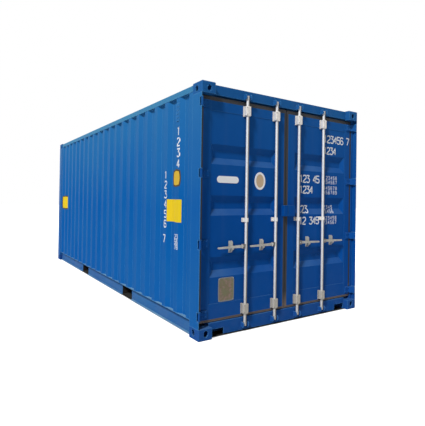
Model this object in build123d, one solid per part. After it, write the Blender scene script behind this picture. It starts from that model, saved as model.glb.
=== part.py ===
"""Twenty-foot dry freight container: welded corrugated steel box with a double-leaf door end.

Millimetres. The origin is the middle of the footprint at ground level. +Z is up and +X runs along
the length towards the door end. Seen from in front of the doors, the left side is -Y.
Inside this file a depth is measured inwards from the outer face of a corner fitting: from the door
end plane, from the blind end plane or from a side plane.
"""

import os
from math import pi, tan

from build123d import *

# Overall size
LENGTH = 6058.0
WIDTH = 2438.0
HEIGHT = 2591.0

# How far a cut runs past a face, and how near two values are the same place
OVERCUT = 1.0
SAME_PLACE = 1e-6

# Sides of a forged hub or knuckle
HUB_SIDES = 8

# Corner fittings, with the standard hole pattern
FITTING_LENGTH = 178.0
FITTING_WIDTH = 162.0
FITTING_HEIGHT = 118.0
FITTING_SLOT_PLATE = 28.0
FITTING_OUTER_WALL = 18.0
FITTING_INNER_WALL = 12.0
FITTING_CHAMFER = 8.0
SLOT_END_DISTANCE = 102.5
SLOT_SIDE_DISTANCE = 89.5
SLOT_LENGTH = 124.0
SLOT_WIDTH = 63.5
HAND_HOLE_WIDTH = 51.0
HAND_HOLE_HEIGHT = 66.0
HAND_HOLE_CORNER = 16.0

# Base frame
BASE_CLEARANCE = 12.0
SIDE_RAIL_HEIGHT = 162.0
SIDE_RAIL_THICKNESS = 4.5
SIDE_RAIL_TOP_FLANGE = 48.0
SIDE_RAIL_BOTTOM_FLANGE = 30.0
SKIN_INSET = 12.0
FLOOR_TOP = 172.0
FLOOR_THICKNESS = 28.0
FLOOR_PANEL_ROWS = 2
FLOOR_PANELS_PER_ROW = 3
FLOOR_JOINT = 2.0
FLOOR_EDGE_GAP = 4.0
CROSS_MEMBER_HEIGHT = 122.0
CROSS_MEMBER_FLANGE = 45.0
CROSS_MEMBER_THICKNESS = 4.0
CROSS_MEMBER_PITCH = 280.0
CROSS_MEMBER_GAP = 45.0

# Fork pockets
POCKET_SPACING = 2050.0
POCKET_WIDTH = 360.0
POCKET_HEIGHT = 120.0
POCKET_STRAP_WIDTH = 200.0
POCKET_STRAP_THICKNESS = 6.0

# Corrugated walls: outer flat, slope and inner flat add up to the pitch with a second slope
WALL_SHEET = 2.0
SIDE_OUTER_FLAT = 74.0
SIDE_SLOPE = 68.0
SIDE_INNER_FLAT = 70.0
SIDE_DEPTH = 36.0
SIDE_END_FLAT_LEAST = 60.0
END_OUTER_FLAT = 110.0
END_SLOPE = 18.0
END_INNER_FLAT = 104.0
END_DEPTH = 45.0
END_END_FLAT_LEAST = 60.0

# Roof
TOP_RAIL = 60.0
TOP_RAIL_WALL = 3.0
TOP_RAIL_INSET = 12.0
TOP_RAIL_DROP = 14.0
ROOF_SHEET = 2.0
ROOF_GROOVE_PITCH = 209.0
ROOF_GROOVE_WIDTH = 118.0
ROOF_GROOVE_RUN = 14.0
ROOF_GROOVE_END_RUN = 40.0
ROOF_GROOVE_DEPTH = 20.0
ROOF_EDGE_FLAT = 45.0
ROOF_END_FLAT_LEAST = 60.0
ROOF_CORNER_PLATE_WIDTH = 300.0
ROOF_CORNER_PLATE_THICKNESS = 4.0

# Posts and end beams
REAR_POST_DEPTH = 178.0
REAR_POST_WIDTH = 36.0
REAR_POST_OUTER_WALL = 6.0
DOOR_STOP_DEPTH = 128.0
DOOR_STOP_LAP = 24.0
HEADER_STOP_DROP = 80.0
POST_LIP_START = 6.0
FRONT_POST_DEPTH = 178.0
FRONT_POST_WIDTH = 60.0
FRONT_POST_WALL = 6.0
END_BEAM_FACE = 62.0
END_BEAM_WALL = 5.0
HEADER_HEIGHT = 100.0
HEADER_DROP = 6.0
SILL_STEP = 26.0
SILL_NOTCH_WIDTH = 172.0
SILL_NOTCH_GAP = 12.0
SILL_NOTCH_HEIGHT = 66.0
FRONT_BEAM_HEIGHT = 105.0
FRONT_BEAM_DEPTH = 60.0
FRONT_BEAM_INSET = 12.0

# Door leaves
LEAF_FACE = 72.0
LEAF_THICKNESS = 50.0
LEAF_LOCK_EDGE = 34.0
LEAF_HINGE_EDGE_DEPTH = 56.0
LEAF_BOTTOM_GAP = 34.0
LEAF_TOP_GAP = 61.0
STILE_WIDTH = 100.0
STILE_WALL = 3.0
LEAF_TOP_RAIL = 100.0
LEAF_BOTTOM_RAIL = 155.0
PANEL_RECESS = 4.0
PANEL_SHEET = 2.0
PANEL_GROOVE_TOP_GAP = 344.0
PANEL_GROOVE_MIDDLE_RISE = 15.5
PANEL_GROOVE_BOTTOM_GAP = 269.0
PANEL_GROOVE_HEIGHT = 208.0
PANEL_GROOVE_RUN = 68.0
PANEL_GROOVE_END_RUN = 46.0
PANEL_GROOVE_DEPTH = 36.0
PANEL_GROOVE_MARGIN = 14.0

# Door gaskets
SEAL_FRONT = 76.0
SEAL_DEPTH = 42.0
SEAL_GAP = 8.0
SEAL_CENTRE_GAP = 10.0

# Hinges
HINGES_PER_LEAF = 4
HINGE_LOW_GAP = 61.0
HINGE_HIGH_GAP = 42.0
HINGE_PIN_DEPTH = 12.0
HINGE_PIN_INSET = 12.0
HINGE_PIN_RADIUS = 6.0
HINGE_PIN_CLEARANCE = 0.3
HINGE_KNUCKLE_RADIUS = 11.0
HINGE_BLADE_HEIGHT = 80.0
HINGE_BLADE_THICKNESS = 12.0
HINGE_BLADE_LAP = 80.0
HINGE_LUG_THICKNESS = 8.0
HINGE_LUG_CLEARANCE = 0.5
HINGE_SLOT_DEPTH = 40.0
HINGE_SLOT_CLEARANCE = 6.0

# Locking bars
INNER_BAR_GAP = 146.0
OUTER_BAR_SHIFT = 8.5
BAR_DEPTH = 38.0
BAR_RADIUS = 17.0
BAR_SILL_LAP = 86.0
BAR_HEADER_LAP = 42.0
BAR_CLEARANCE = 0.3
CAM_HEIGHT = 40.0
CAM_REACH = 19.0
CAM_LONG_REACH = 26.0
CAM_LOBE_ROOT = 24.0
CAM_LOBE_TIP = 14.0
KEEPER_BASE = 8.0
KEEPER_BRIDGE = 12.0
KEEPER_CLEARANCE = 6.0
KEEPER_CHEEK = 8.0
KEEPER_GAP = 30.0
KEEPER_FRONT = 14.0
KEEPER_SLANT = 14.0

# Bar brackets
BRACKET_FOOT_WIDTH = 78.0
BRACKET_FOOT = 7.0
BRACKET_WALL = 3.7
BRACKET_HEIGHT = 110.0
BRACKET_END_GAP = 6.0
GUIDE_HEIGHT = 44.0
GUIDE_DROP = 50.0

# Handles and their catches
HANDLE_HEIGHT = 911.0
HANDLE_TIP_GAP = 57.0
HANDLE_PIVOT = 40.0
HANDLE_THICKNESS = 10.0
HANDLE_ROOT = 30.0
HANDLE_TIP = 18.0
HANDLE_CORNER = 7.0
HANDLE_PIN_RADIUS = 6.0
HANDLE_PIN_CLEARANCE = 0.3
HUB_HEIGHT = 46.0
HUB_CHEEK = 6.0
HUB_SIDE_GAP = 0.5
HUB_END = 15.0
CATCH_WIDTH = 44.0
CATCH_HOOK_WIDTH = 22.0
CATCH_LATCH_WIDTH = 30.0
CATCH_HEIGHT = 124.0
CATCH_PLATE = 6.0
CATCH_CLEARANCE = 5.0
CATCH_SHELF = 10.0
CATCH_SHELF_GAP = 0.3
CATCH_SHELF_FRONT = 22.0

# Padlock box, one half on each leaf
LOCK_BOX_BOTTOM = 1225.0
LOCK_BOX_HEIGHT = 125.0
LOCK_BOX_FRONT = 26.0
LOCK_BOX_WALL = 4.0
LOCK_BOX_REACH = {"left": 63.0, "right": 110.0}

# Side vents
VENT_WIDTH = 60.0
VENT_HEIGHT = 200.0
VENT_TOP_GAP = 60.0
VENT_THICKNESS = 7.0
VENT_LOUVRES = 5
VENT_BACK = 2.0
VENT_RIB = 1

# Derived places
HALF_LENGTH = LENGTH / 2
HALF_WIDTH = WIDTH / 2
SIDES = {"left": -1, "right": 1}
FITTING_INNER_X = HALF_LENGTH - FITTING_LENGTH
FITTING_INNER_Y = HALF_WIDTH - FITTING_WIDTH
POST_BOTTOM = FITTING_HEIGHT
POST_TOP = HEIGHT - FITTING_HEIGHT
SIDE_RAIL_TOP = BASE_CLEARANCE + SIDE_RAIL_HEIGHT
RAIL_WEB_OUTER = SKIN_INSET + SIDE_RAIL_TOP_FLANGE - SIDE_RAIL_THICKNESS
RAIL_WEB_INNER = SKIN_INSET + SIDE_RAIL_TOP_FLANGE
BASE_HALF_WIDTH = HALF_WIDTH - RAIL_WEB_INNER
FLOOR_BOTTOM = FLOOR_TOP - FLOOR_THICKNESS
TOP_RAIL_TOP = HEIGHT - TOP_RAIL_DROP
TOP_RAIL_BOTTOM = TOP_RAIL_TOP - TOP_RAIL
POCKET_BOTTOM = BASE_CLEARANCE + POCKET_STRAP_THICKNESS
POCKET_TOP = POCKET_BOTTOM + POCKET_HEIGHT
POCKET_CENTRES = (-POCKET_SPACING / 2, POCKET_SPACING / 2)
SIDE_WALL_REAR = HALF_LENGTH - REAR_POST_DEPTH
SIDE_WALL_FRONT = -HALF_LENGTH + FRONT_POST_DEPTH
SILL_TOP = FLOOR_TOP - SILL_STEP
HEADER_BOTTOM = HEIGHT - HEADER_DROP - HEADER_HEIGHT
LEAF_BOTTOM = SILL_TOP + LEAF_BOTTOM_GAP
LEAF_TOP = HEADER_BOTTOM - LEAF_TOP_GAP
LEAF_BACK = LEAF_FACE + LEAF_THICKNESS
LEAF_HINGE_EDGE = HALF_WIDTH - LEAF_HINGE_EDGE_DEPTH
PANEL_FACE = LEAF_FACE + PANEL_RECESS
PANEL_BOTTOM = LEAF_BOTTOM + LEAF_BOTTOM_RAIL
PANEL_TOP = LEAF_TOP - LEAF_TOP_RAIL
PANEL_MIDDLE = (PANEL_BOTTOM + PANEL_TOP) / 2
PANEL_GROOVE_CENTRES = (
    PANEL_TOP - PANEL_GROOVE_TOP_GAP - PANEL_GROOVE_HEIGHT / 2,
    PANEL_MIDDLE + PANEL_GROOVE_MIDDLE_RISE,
    PANEL_BOTTOM + PANEL_GROOVE_BOTTOM_GAP + PANEL_GROOVE_HEIGHT / 2,
)
HINGE_LOWEST = LEAF_BOTTOM + HINGE_LOW_GAP
HINGE_STEP = (LEAF_TOP - HINGE_HIGH_GAP - HINGE_LOWEST) / (HINGES_PER_LEAF - 1)
HINGE_HEIGHTS = [HINGE_LOWEST + i * HINGE_STEP for i in range(HINGES_PER_LEAF)]
BAR_OFFSETS = {
    "inner": LEAF_LOCK_EDGE + INNER_BAR_GAP,
    "outer": (LEAF_LOCK_EDGE + LEAF_HINGE_EDGE) / 2 + OUTER_BAR_SHIFT,
}
BAR_BOTTOM = SILL_TOP - BAR_SILL_LAP
BAR_TOP = HEADER_BOTTOM + BAR_HEADER_LAP
GUIDE_CENTRE = PANEL_GROOVE_CENTRES[1] - PANEL_GROOVE_HEIGHT / 2 - GUIDE_DROP
HANDLE_LENGTH = BAR_OFFSETS["outer"] - BAR_OFFSETS["inner"] - HANDLE_TIP_GAP
CATCH_OFFSET = HANDLE_LENGTH / 2


def rear(depth):
    """X of a point that lies this deep behind the door end plane."""
    return HALF_LENGTH - depth


def front(depth):
    """X of a point that lies this deep behind the blind end plane."""
    return depth - HALF_LENGTH


def flank(side, depth):
    """Y of a point that lies this deep inside the side plane."""
    return SIDES[side] * (HALF_WIDTH - depth)


def slab(x0, x1, y0, y1, z0, z1):
    """Box between two corners, given in either order."""
    low = Vector(min(x0, x1), min(y0, y1), min(z0, z1))
    high = Vector(max(x0, x1), max(y0, y1), max(z0, z1))
    size = high - low
    return Pos(*((low + high) / 2)) * Box(size.X, size.Y, size.Z)


def prism(points, direction, length):
    """Flat outline through 3-D points, pushed along a direction."""
    outline = make_face(Polyline(*points, close=True))
    return extrude(outline, amount=length, dir=direction)


def upright(points, bottom, top):
    """Plan outline of (x, y) points, carried from one height to another."""
    return prism([(x, y, bottom) for x, y in points], (0, 0, 1), top - bottom)


def rod(start, end, radius):
    """Round bar between two points."""
    axis = Vector(*end) - Vector(*start)
    base = Plane(origin=start, z_dir=axis.normalized())
    return extrude(base * Circle(radius), amount=axis.length)


def hub(x, y, bottom, top, reach):
    """Upright many-sided boss round a centre."""
    return extrude(Pos(x, y, bottom) * RegularPolygon(reach, HUB_SIDES), amount=top - bottom)


def tube_x(x0, x1, y0, y1, z0, z1, wall):
    """Rectangular hollow section along X."""
    low_y, high_y = sorted((y0, y1))
    return slab(x0, x1, y0, y1, z0, z1) - slab(
        x0, x1, low_y + wall, high_y - wall, z0 + wall, z1 - wall
    )


def tube_y(x0, x1, y0, y1, z0, z1, wall):
    """Rectangular hollow section along Y."""
    low_x, high_x = sorted((x0, x1))
    return slab(x0, x1, y0, y1, z0, z1) - slab(
        low_x + wall, high_x - wall, y0, y1, z0 + wall, z1 - wall
    )


def tube_z(x0, x1, y0, y1, z0, z1, wall):
    """Rectangular hollow section along Z."""
    low_x, high_x = sorted((x0, x1))
    low_y, high_y = sorted((y0, y1))
    return slab(x0, x1, y0, y1, z0, z1) - slab(
        low_x + wall, high_x - wall, low_y + wall, high_y - wall, z0, z1
    )


def trough(centre, length, width, end_run, side_run, depth):
    """Pressed trough with sloping sides and ends, its mouth at z 0 and its bed at -depth."""
    half_length, half_width = length / 2, width / 2
    lengthwise = [
        (-half_length, -half_width, 0),
        (half_length, -half_width, 0),
        (half_length - end_run, -half_width, -depth),
        (end_run - half_length, -half_width, -depth),
    ]
    crosswise = [
        (-half_length, -half_width, 0),
        (-half_length, half_width, 0),
        (-half_length, half_width - side_run, -depth),
        (-half_length, side_run - half_width, -depth),
    ]
    body = prism(lengthwise, (0, 1, 0), width) & prism(crosswise, (1, 0, 0), length)
    return Pos(*centre, 0) * body


def pressed_sheet(length, width, thickness, troughs):
    """Flat sheet under z 0 with troughs pressed down into it."""
    sheet = Pos(0, 0, -thickness / 2) * Box(length, width, thickness)
    backs = [Pos(0, 0, -thickness) * body for body in troughs]
    return sheet.fuse(*backs).cut(*troughs)


def copies(room, item, pitch):
    """How many items of a given width fit in a room at a given pitch."""
    return int((room - item) // pitch) + 1


def spread(start, end, least_flat, item, pitch):
    """Starts of as many items as fit, centred, with at least least_flat left at each end."""
    count = copies(end - start - 2 * least_flat, item, pitch)
    first = (start + end - (count - 1) * pitch - item) / 2
    return [first + i * pitch for i in range(count)]


def wave(start, end, recesses, slope, inner_flat, depth):
    """Outline of a corrugated sheet seen on edge: (along, inwards) points from start to end."""
    points = [(start, 0.0)]
    for edge in recesses:
        bed = edge + slope
        points += [(edge, 0.0), (bed, depth), (bed + inner_flat, depth)]
        points.append((bed + inner_flat + slope, 0.0))
    points.append((end, 0.0))
    return points


def side_recesses():
    """Where the recesses of a side wall start, from the blind end to the doors."""
    recess = SIDE_INNER_FLAT + 2 * SIDE_SLOPE
    pitch = recess + SIDE_OUTER_FLAT
    return spread(SIDE_WALL_FRONT, SIDE_WALL_REAR, SIDE_END_FLAT_LEAST, recess, pitch)


# Corner fittings


def corner_fitting(end, side, top):
    """Hollow cast block with a slot above or below, and a hand hole in its end and side."""
    x_out, y_out = end * HALF_LENGTH, SIDES[side] * HALF_WIDTH
    x_in, y_in = end * FITTING_INNER_X, SIDES[side] * FITTING_INNER_Y
    z_out = HEIGHT if top else 0.0
    up = -1 if top else 1
    z_in = z_out + up * FITTING_HEIGHT
    block = slab(x_out, x_in, y_out, y_in, z_out, z_in)
    corner = (x_out, y_out, z_out)
    outer_edges = []
    for edge in block.edges():
        on_outside = [abs(a - b) < SAME_PLACE for a, b in zip(edge.center(), corner)]
        if sum(on_outside) == 2:
            outer_edges.append(edge)
    block = chamfer(outer_edges, FITTING_CHAMFER)
    cavity = slab(
        x_out - end * FITTING_OUTER_WALL,
        x_in + end * FITTING_INNER_WALL,
        y_out - SIDES[side] * FITTING_OUTER_WALL,
        y_in + SIDES[side] * FITTING_INNER_WALL,
        z_out + up * FITTING_SLOT_PLATE,
        z_in - up * FITTING_INNER_WALL,
    )
    slot_x = end * (HALF_LENGTH - SLOT_END_DISTANCE)
    slot_y = SIDES[side] * (HALF_WIDTH - SLOT_SIDE_DISTANCE)
    slot = extrude(
        Pos(slot_x, slot_y, z_out) * SlotOverall(SLOT_LENGTH, SLOT_WIDTH),
        amount=up * (FITTING_SLOT_PLATE + OVERCUT),
    )
    middle_z = (z_out + up * FITTING_SLOT_PLATE + z_in - up * FITTING_INNER_WALL) / 2
    hand_hole = Rectangle(HAND_HOLE_HEIGHT, HAND_HOLE_WIDTH)
    hand_hole = chamfer(hand_hole.vertices(), HAND_HOLE_CORNER)
    side_plane = Plane((slot_x, y_out, middle_z), x_dir=(0, 0, 1), z_dir=(0, SIDES[side], 0))
    end_plane = Plane((x_out, slot_y, middle_z), x_dir=(0, 0, 1), z_dir=(end, 0, 0))
    side_hole = extrude(side_plane * hand_hole, amount=-(FITTING_OUTER_WALL + OVERCUT))
    end_hole = extrude(end_plane * hand_hole, amount=-(FITTING_OUTER_WALL + OVERCUT))
    return block - cavity - slot - side_hole - end_hole


# Base frame


def side_rail(side):
    """Channel with its flanges outwards, opened at the two fork pockets."""
    outer, web, inner = SKIN_INSET, RAIL_WEB_OUTER, RAIL_WEB_INNER
    lip = inner - SIDE_RAIL_BOTTOM_FLANGE
    low, high, sheet = BASE_CLEARANCE, SIDE_RAIL_TOP, SIDE_RAIL_THICKNESS
    section = [
        (outer, high),
        (inner, high),
        (inner, low),
        (lip, low),
        (lip, low + sheet),
        (web, low + sheet),
        (web, high - sheet),
        (outer, high - sheet),
    ]
    points = [(-FITTING_INNER_X, flank(side, depth), z) for depth, z in section]
    rail = prism(points, (1, 0, 0), 2 * FITTING_INNER_X)
    for centre in POCKET_CENTRES:
        rail -= slab(
            centre - POCKET_WIDTH / 2,
            centre + POCKET_WIDTH / 2,
            flank(side, 0),
            flank(side, inner + OVERCUT),
            0,
            POCKET_TOP,
        )
    return rail


def floor_channel(x, facing, bottom, top):
    """Cross channel under the floor, its back at x and its flanges towards facing."""
    flange = facing * CROSS_MEMBER_FLANGE
    sheet = facing * CROSS_MEMBER_THICKNESS
    lip = CROSS_MEMBER_THICKNESS
    section = [
        (x, bottom),
        (x + flange, bottom),
        (x + flange, bottom + lip),
        (x + sheet, bottom + lip),
        (x + sheet, top - lip),
        (x + flange, top - lip),
        (x + flange, top),
        (x, top),
    ]
    points = [(px, -BASE_HALF_WIDTH, z) for px, z in section]
    return prism(points, (0, 1, 0), 2 * BASE_HALF_WIDTH)


def cross_members():
    """Rows of channels between and outside the fork pockets."""
    bottom = FLOOR_BOTTOM - CROSS_MEMBER_HEIGHT
    pitch, flange = CROSS_MEMBER_PITCH, CROSS_MEMBER_FLANGE
    taken = 2 * (POCKET_WIDTH / 2 + CROSS_MEMBER_FLANGE + CROSS_MEMBER_GAP)
    inner = copies(POCKET_SPACING - taken, flange, pitch)
    places = [(i - (inner - 1) / 2) * pitch for i in range(inner)]
    start = POCKET_SPACING / 2 + POCKET_WIDTH / 2
    for i in range(1, copies(FITTING_INNER_X - start, flange, pitch)):
        places += [start + i * pitch, -start - i * pitch]
    return [floor_channel(x, -1 if x > 0 else 1, bottom, FLOOR_BOTTOM) for x in places]


def fork_pocket(centre):
    """Tunnel across the base: a roof plate, two channel sides and a strap under each mouth."""
    left, right = centre - POCKET_WIDTH / 2, centre + POCKET_WIDTH / 2
    roof = slab(left, right, -BASE_HALF_WIDTH, BASE_HALF_WIDTH, POCKET_TOP, FLOOR_BOTTOM)
    sides = [
        floor_channel(left, -1, BASE_CLEARANCE, FLOOR_BOTTOM),
        floor_channel(right, 1, BASE_CLEARANCE, FLOOR_BOTTOM),
    ]
    straps = [
        slab(
            left,
            right,
            flank(side, RAIL_WEB_INNER),
            flank(side, RAIL_WEB_INNER + POCKET_STRAP_WIDTH),
            BASE_CLEARANCE,
            POCKET_BOTTOM,
        )
        for side in SIDES
    ]
    return roof.fuse(*sides, *straps)


def floor_panels():
    """Plywood sheets laid side by side with an open joint between them."""
    start, end = front(FRONT_POST_DEPTH), rear(REAR_POST_DEPTH)
    half = BASE_HALF_WIDTH - FLOOR_EDGE_GAP
    length = (end - start) / FLOOR_PANELS_PER_ROW
    width = 2 * half / FLOOR_PANEL_ROWS
    gap = FLOOR_JOINT / 2
    return [
        slab(
            start + i * length + gap,
            start + (i + 1) * length - gap,
            -half + j * width + gap,
            -half + (j + 1) * width - gap,
            FLOOR_BOTTOM,
            FLOOR_TOP,
        )
        for i in range(FLOOR_PANELS_PER_ROW)
        for j in range(FLOOR_PANEL_ROWS)
    ]


# Walls and roof


def side_wall(side):
    """Corrugated sheet standing on the bottom rail and reaching the top rail."""
    outline = wave(
        SIDE_WALL_FRONT, SIDE_WALL_REAR, side_recesses(), SIDE_SLOPE, SIDE_INNER_FLAT, SIDE_DEPTH
    )
    outer = [(x, flank(side, SKIN_INSET + inwards)) for x, inwards in outline]
    inner = [(x, flank(side, SKIN_INSET + inwards + WALL_SHEET)) for x, inwards in outline]
    return upright(outer + inner[::-1], SIDE_RAIL_TOP, TOP_RAIL_BOTTOM)


def front_wall():
    """Deeply corrugated blind end between the front posts and beams."""
    half = HALF_WIDTH - FRONT_POST_WIDTH
    recess = END_INNER_FLAT + 2 * END_SLOPE
    recesses = spread(-half, half, END_END_FLAT_LEAST, recess, recess + END_OUTER_FLAT)
    outline = wave(-half, half, recesses, END_SLOPE, END_INNER_FLAT, END_DEPTH)
    outer = [(front(FRONT_BEAM_INSET + inwards), y) for y, inwards in outline]
    inner = [(front(FRONT_BEAM_INSET + inwards + WALL_SHEET), y) for y, inwards in outline]
    bottom, top = SIDE_RAIL_TOP, TOP_RAIL_TOP - FRONT_BEAM_HEIGHT
    return upright(outer + inner[::-1], bottom, top)


def roof_sheet():
    """Roof lapped on the top rails, stamped with cross grooves that stop short of the rails."""
    half = HALF_WIDTH - TOP_RAIL_INSET - TOP_RAIL / 2
    groove_half = HALF_WIDTH - TOP_RAIL_INSET - TOP_RAIL - ROOF_EDGE_FLAT
    ends = (-FITTING_INNER_X, FITTING_INNER_X)
    starts = spread(*ends, ROOF_END_FLAT_LEAST, ROOF_GROOVE_WIDTH, ROOF_GROOVE_PITCH)
    grooves = [
        trough(
            (start + ROOF_GROOVE_WIDTH / 2, 0),
            ROOF_GROOVE_WIDTH,
            2 * groove_half,
            ROOF_GROOVE_RUN,
            ROOF_GROOVE_END_RUN,
            ROOF_GROOVE_DEPTH,
        )
        for start in starts
    ]
    sheet = pressed_sheet(2 * FITTING_INNER_X, 2 * half, ROOF_SHEET, grooves)
    return Pos(0, 0, TOP_RAIL_TOP + ROOF_SHEET) * sheet


def top_rail(side):
    """Square tube along the top edge, between the top fittings."""
    return tube_x(
        -FITTING_INNER_X,
        FITTING_INNER_X,
        flank(side, TOP_RAIL_INSET),
        flank(side, TOP_RAIL_INSET + TOP_RAIL),
        TOP_RAIL_BOTTOM,
        TOP_RAIL_TOP,
        TOP_RAIL_WALL,
    )


def side_vent(side):
    """Louvred vent cover on the wall's second rib from the doors."""
    x = side_recesses()[-VENT_RIB] - SIDE_OUTER_FLAT / 2
    top = TOP_RAIL_BOTTOM - VENT_TOP_GAP
    louvre = VENT_HEIGHT / VENT_LOUVRES
    outline = [(0.0, top), (0.0, top - VENT_HEIGHT)]
    for i in range(VENT_LOUVRES):
        low = top - VENT_HEIGHT + i * louvre
        outline += [(VENT_THICKNESS, low), (VENT_BACK, low + louvre)]
    points = [(x - VENT_WIDTH / 2, flank(side, SKIN_INSET - proud), z) for proud, z in outline]
    return prism(points, (1, 0, 0), VENT_WIDTH)


def roof_corner_plates():
    """Doubling plates on the roof beside the four top fittings."""
    half = HALF_WIDTH - TOP_RAIL_INSET - TOP_RAIL / 2
    bottom = TOP_RAIL_TOP + ROOF_SHEET
    plates = []
    for end in (-1, 1):
        for sign in SIDES.values():
            plates.append(
                slab(
                    end * FITTING_INNER_X,
                    end * (FITTING_INNER_X - ROOF_END_FLAT_LEAST),
                    sign * half,
                    sign * (half - ROOF_CORNER_PLATE_WIDTH),
                    bottom,
                    bottom + ROOF_CORNER_PLATE_THICKNESS,
                )
            )
    return plates


# Posts and end beams


def rear_post(side):
    """Box post with a door stop inside and an outer lip that is cut away at each hinge."""
    wall = REAR_POST_OUTER_WALL
    post = tube_z(
        rear(END_BEAM_FACE),
        rear(REAR_POST_DEPTH),
        flank(side, 0),
        flank(side, REAR_POST_WIDTH),
        POST_BOTTOM,
        POST_TOP,
        wall,
    )
    stop = tube_z(
        rear(DOOR_STOP_DEPTH),
        rear(REAR_POST_DEPTH),
        flank(side, REAR_POST_WIDTH - wall),
        flank(side, REAR_POST_WIDTH + DOOR_STOP_LAP),
        POST_BOTTOM,
        POST_TOP,
        wall,
    )
    lip = slab(
        rear(POST_LIP_START),
        rear(END_BEAM_FACE),
        flank(side, 0),
        flank(side, wall),
        POST_BOTTOM,
        POST_TOP,
    )
    half_slot = HINGE_BLADE_HEIGHT / 2 + HINGE_SLOT_CLEARANCE
    slots = [
        slab(
            rear(0),
            rear(HINGE_SLOT_DEPTH),
            flank(side, -OVERCUT),
            flank(side, wall + OVERCUT),
            z - half_slot,
            z + half_slot,
        )
        for z in HINGE_HEIGHTS
    ]
    return post.fuse(stop, lip).cut(*slots)


def front_post(side):
    """Plain box post at the blind end."""
    return tube_z(
        front(0),
        front(FRONT_POST_DEPTH),
        flank(side, 0),
        flank(side, FRONT_POST_WIDTH),
        POST_BOTTOM,
        POST_TOP,
        FRONT_POST_WALL,
    )


def door_header():
    """Hollow beam over the doors, between the top fittings, with a stop hanging behind the leaves."""
    half, wall = FITTING_INNER_Y, END_BEAM_WALL
    beam = tube_y(
        rear(END_BEAM_FACE),
        rear(REAR_POST_DEPTH),
        -half,
        half,
        HEADER_BOTTOM,
        HEIGHT - HEADER_DROP,
        wall,
    )
    return beam + slab(
        rear(DOOR_STOP_DEPTH),
        rear(DOOR_STOP_DEPTH + wall),
        -half,
        half,
        HEADER_BOTTOM - HEADER_STOP_DROP,
        HEADER_BOTTOM + wall,
    )


def door_sill():
    """Stepped beam under the doors, open below, with a notch beside each bottom fitting."""
    face, step, back, wall = END_BEAM_FACE, DOOR_STOP_DEPTH, REAR_POST_DEPTH, END_BEAM_WALL
    half = FITTING_INNER_Y
    outer = [
        (face, BASE_CLEARANCE),
        (face, SILL_TOP),
        (step, SILL_TOP),
        (step, FLOOR_TOP),
        (back, FLOOR_TOP),
        (back, BASE_CLEARANCE),
    ]
    inner = [
        (back - wall, BASE_CLEARANCE),
        (back - wall, FLOOR_TOP - wall),
        (step + wall, FLOOR_TOP - wall),
        (step + wall, SILL_TOP - wall),
        (face + wall, SILL_TOP - wall),
        (face + wall, BASE_CLEARANCE),
    ]
    points = [(rear(depth), -half, z) for depth, z in outer + inner]
    sill = prism(points, (0, 1, 0), 2 * half)
    for sign in SIDES.values():
        edge = sign * (half - SILL_NOTCH_GAP)
        sill -= slab(
            rear(face - OVERCUT),
            rear(face + wall),
            edge,
            edge - sign * SILL_NOTCH_WIDTH,
            0,
            BASE_CLEARANCE + SILL_NOTCH_HEIGHT,
        )
    return sill


def front_beam(bottom, top):
    """Hollow beam across the blind end, between the fittings."""
    return tube_y(
        front(FRONT_BEAM_INSET),
        front(FRONT_BEAM_INSET + FRONT_BEAM_DEPTH),
        -FITTING_INNER_Y,
        FITTING_INNER_Y,
        bottom,
        top,
        END_BEAM_WALL,
    )


def front_top_beam():
    """Beam over the blind end with a cover plate that reaches back to the roof."""
    half = FITTING_INNER_Y
    return front_beam(TOP_RAIL_TOP - FRONT_BEAM_HEIGHT, TOP_RAIL_TOP) + slab(
        front(FRONT_BEAM_INSET),
        front(FITTING_LENGTH),
        -half,
        half,
        TOP_RAIL_TOP,
        TOP_RAIL_TOP + END_BEAM_WALL,
    )


# Door leaves, with distances measured sideways from the middle of the container


def leaf_stiles(side):
    """Upright hollow members at the hinge edge and the lock edge."""
    sign = SIDES[side]
    edges = (
        (LEAF_LOCK_EDGE, LEAF_LOCK_EDGE + STILE_WIDTH),
        (LEAF_HINGE_EDGE - STILE_WIDTH, LEAF_HINGE_EDGE),
    )
    return [
        tube_z(
            rear(LEAF_FACE), rear(LEAF_BACK), sign * a, sign * b, LEAF_BOTTOM, LEAF_TOP, STILE_WALL
        )
        for a, b in edges
    ]


def leaf_rails(side):
    """Level hollow members between the stiles, at the top and the bottom."""
    sign = SIDES[side]
    inner, outer = LEAF_LOCK_EDGE + STILE_WIDTH, LEAF_HINGE_EDGE - STILE_WIDTH
    heights = ((LEAF_BOTTOM, PANEL_BOTTOM), (PANEL_TOP, LEAF_TOP))
    return [
        tube_y(
            rear(LEAF_FACE), rear(LEAF_BACK), sign * inner, sign * outer, low, high, STILE_WALL
        )
        for low, high in heights
    ]


def leaf_panel(side):
    """Sheet between the members, pressed with level grooves that have sloping ends."""
    inner, outer = LEAF_LOCK_EDGE + STILE_WIDTH, LEAF_HINGE_EDGE - STILE_WIDTH
    width = outer - inner
    grooves = [
        trough(
            (0, z - PANEL_MIDDLE),
            width - 2 * PANEL_GROOVE_MARGIN,
            PANEL_GROOVE_HEIGHT,
            PANEL_GROOVE_END_RUN,
            PANEL_GROOVE_RUN,
            PANEL_GROOVE_DEPTH,
        )
        for z in PANEL_GROOVE_CENTRES
    ]
    sheet = pressed_sheet(width, PANEL_TOP - PANEL_BOTTOM, PANEL_SHEET, grooves)
    centre = (rear(PANEL_FACE), SIDES[side] * (inner + outer) / 2, PANEL_MIDDLE)
    return Plane(centre, x_dir=(0, 1, 0), z_dir=(1, 0, 0)).location * sheet


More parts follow.
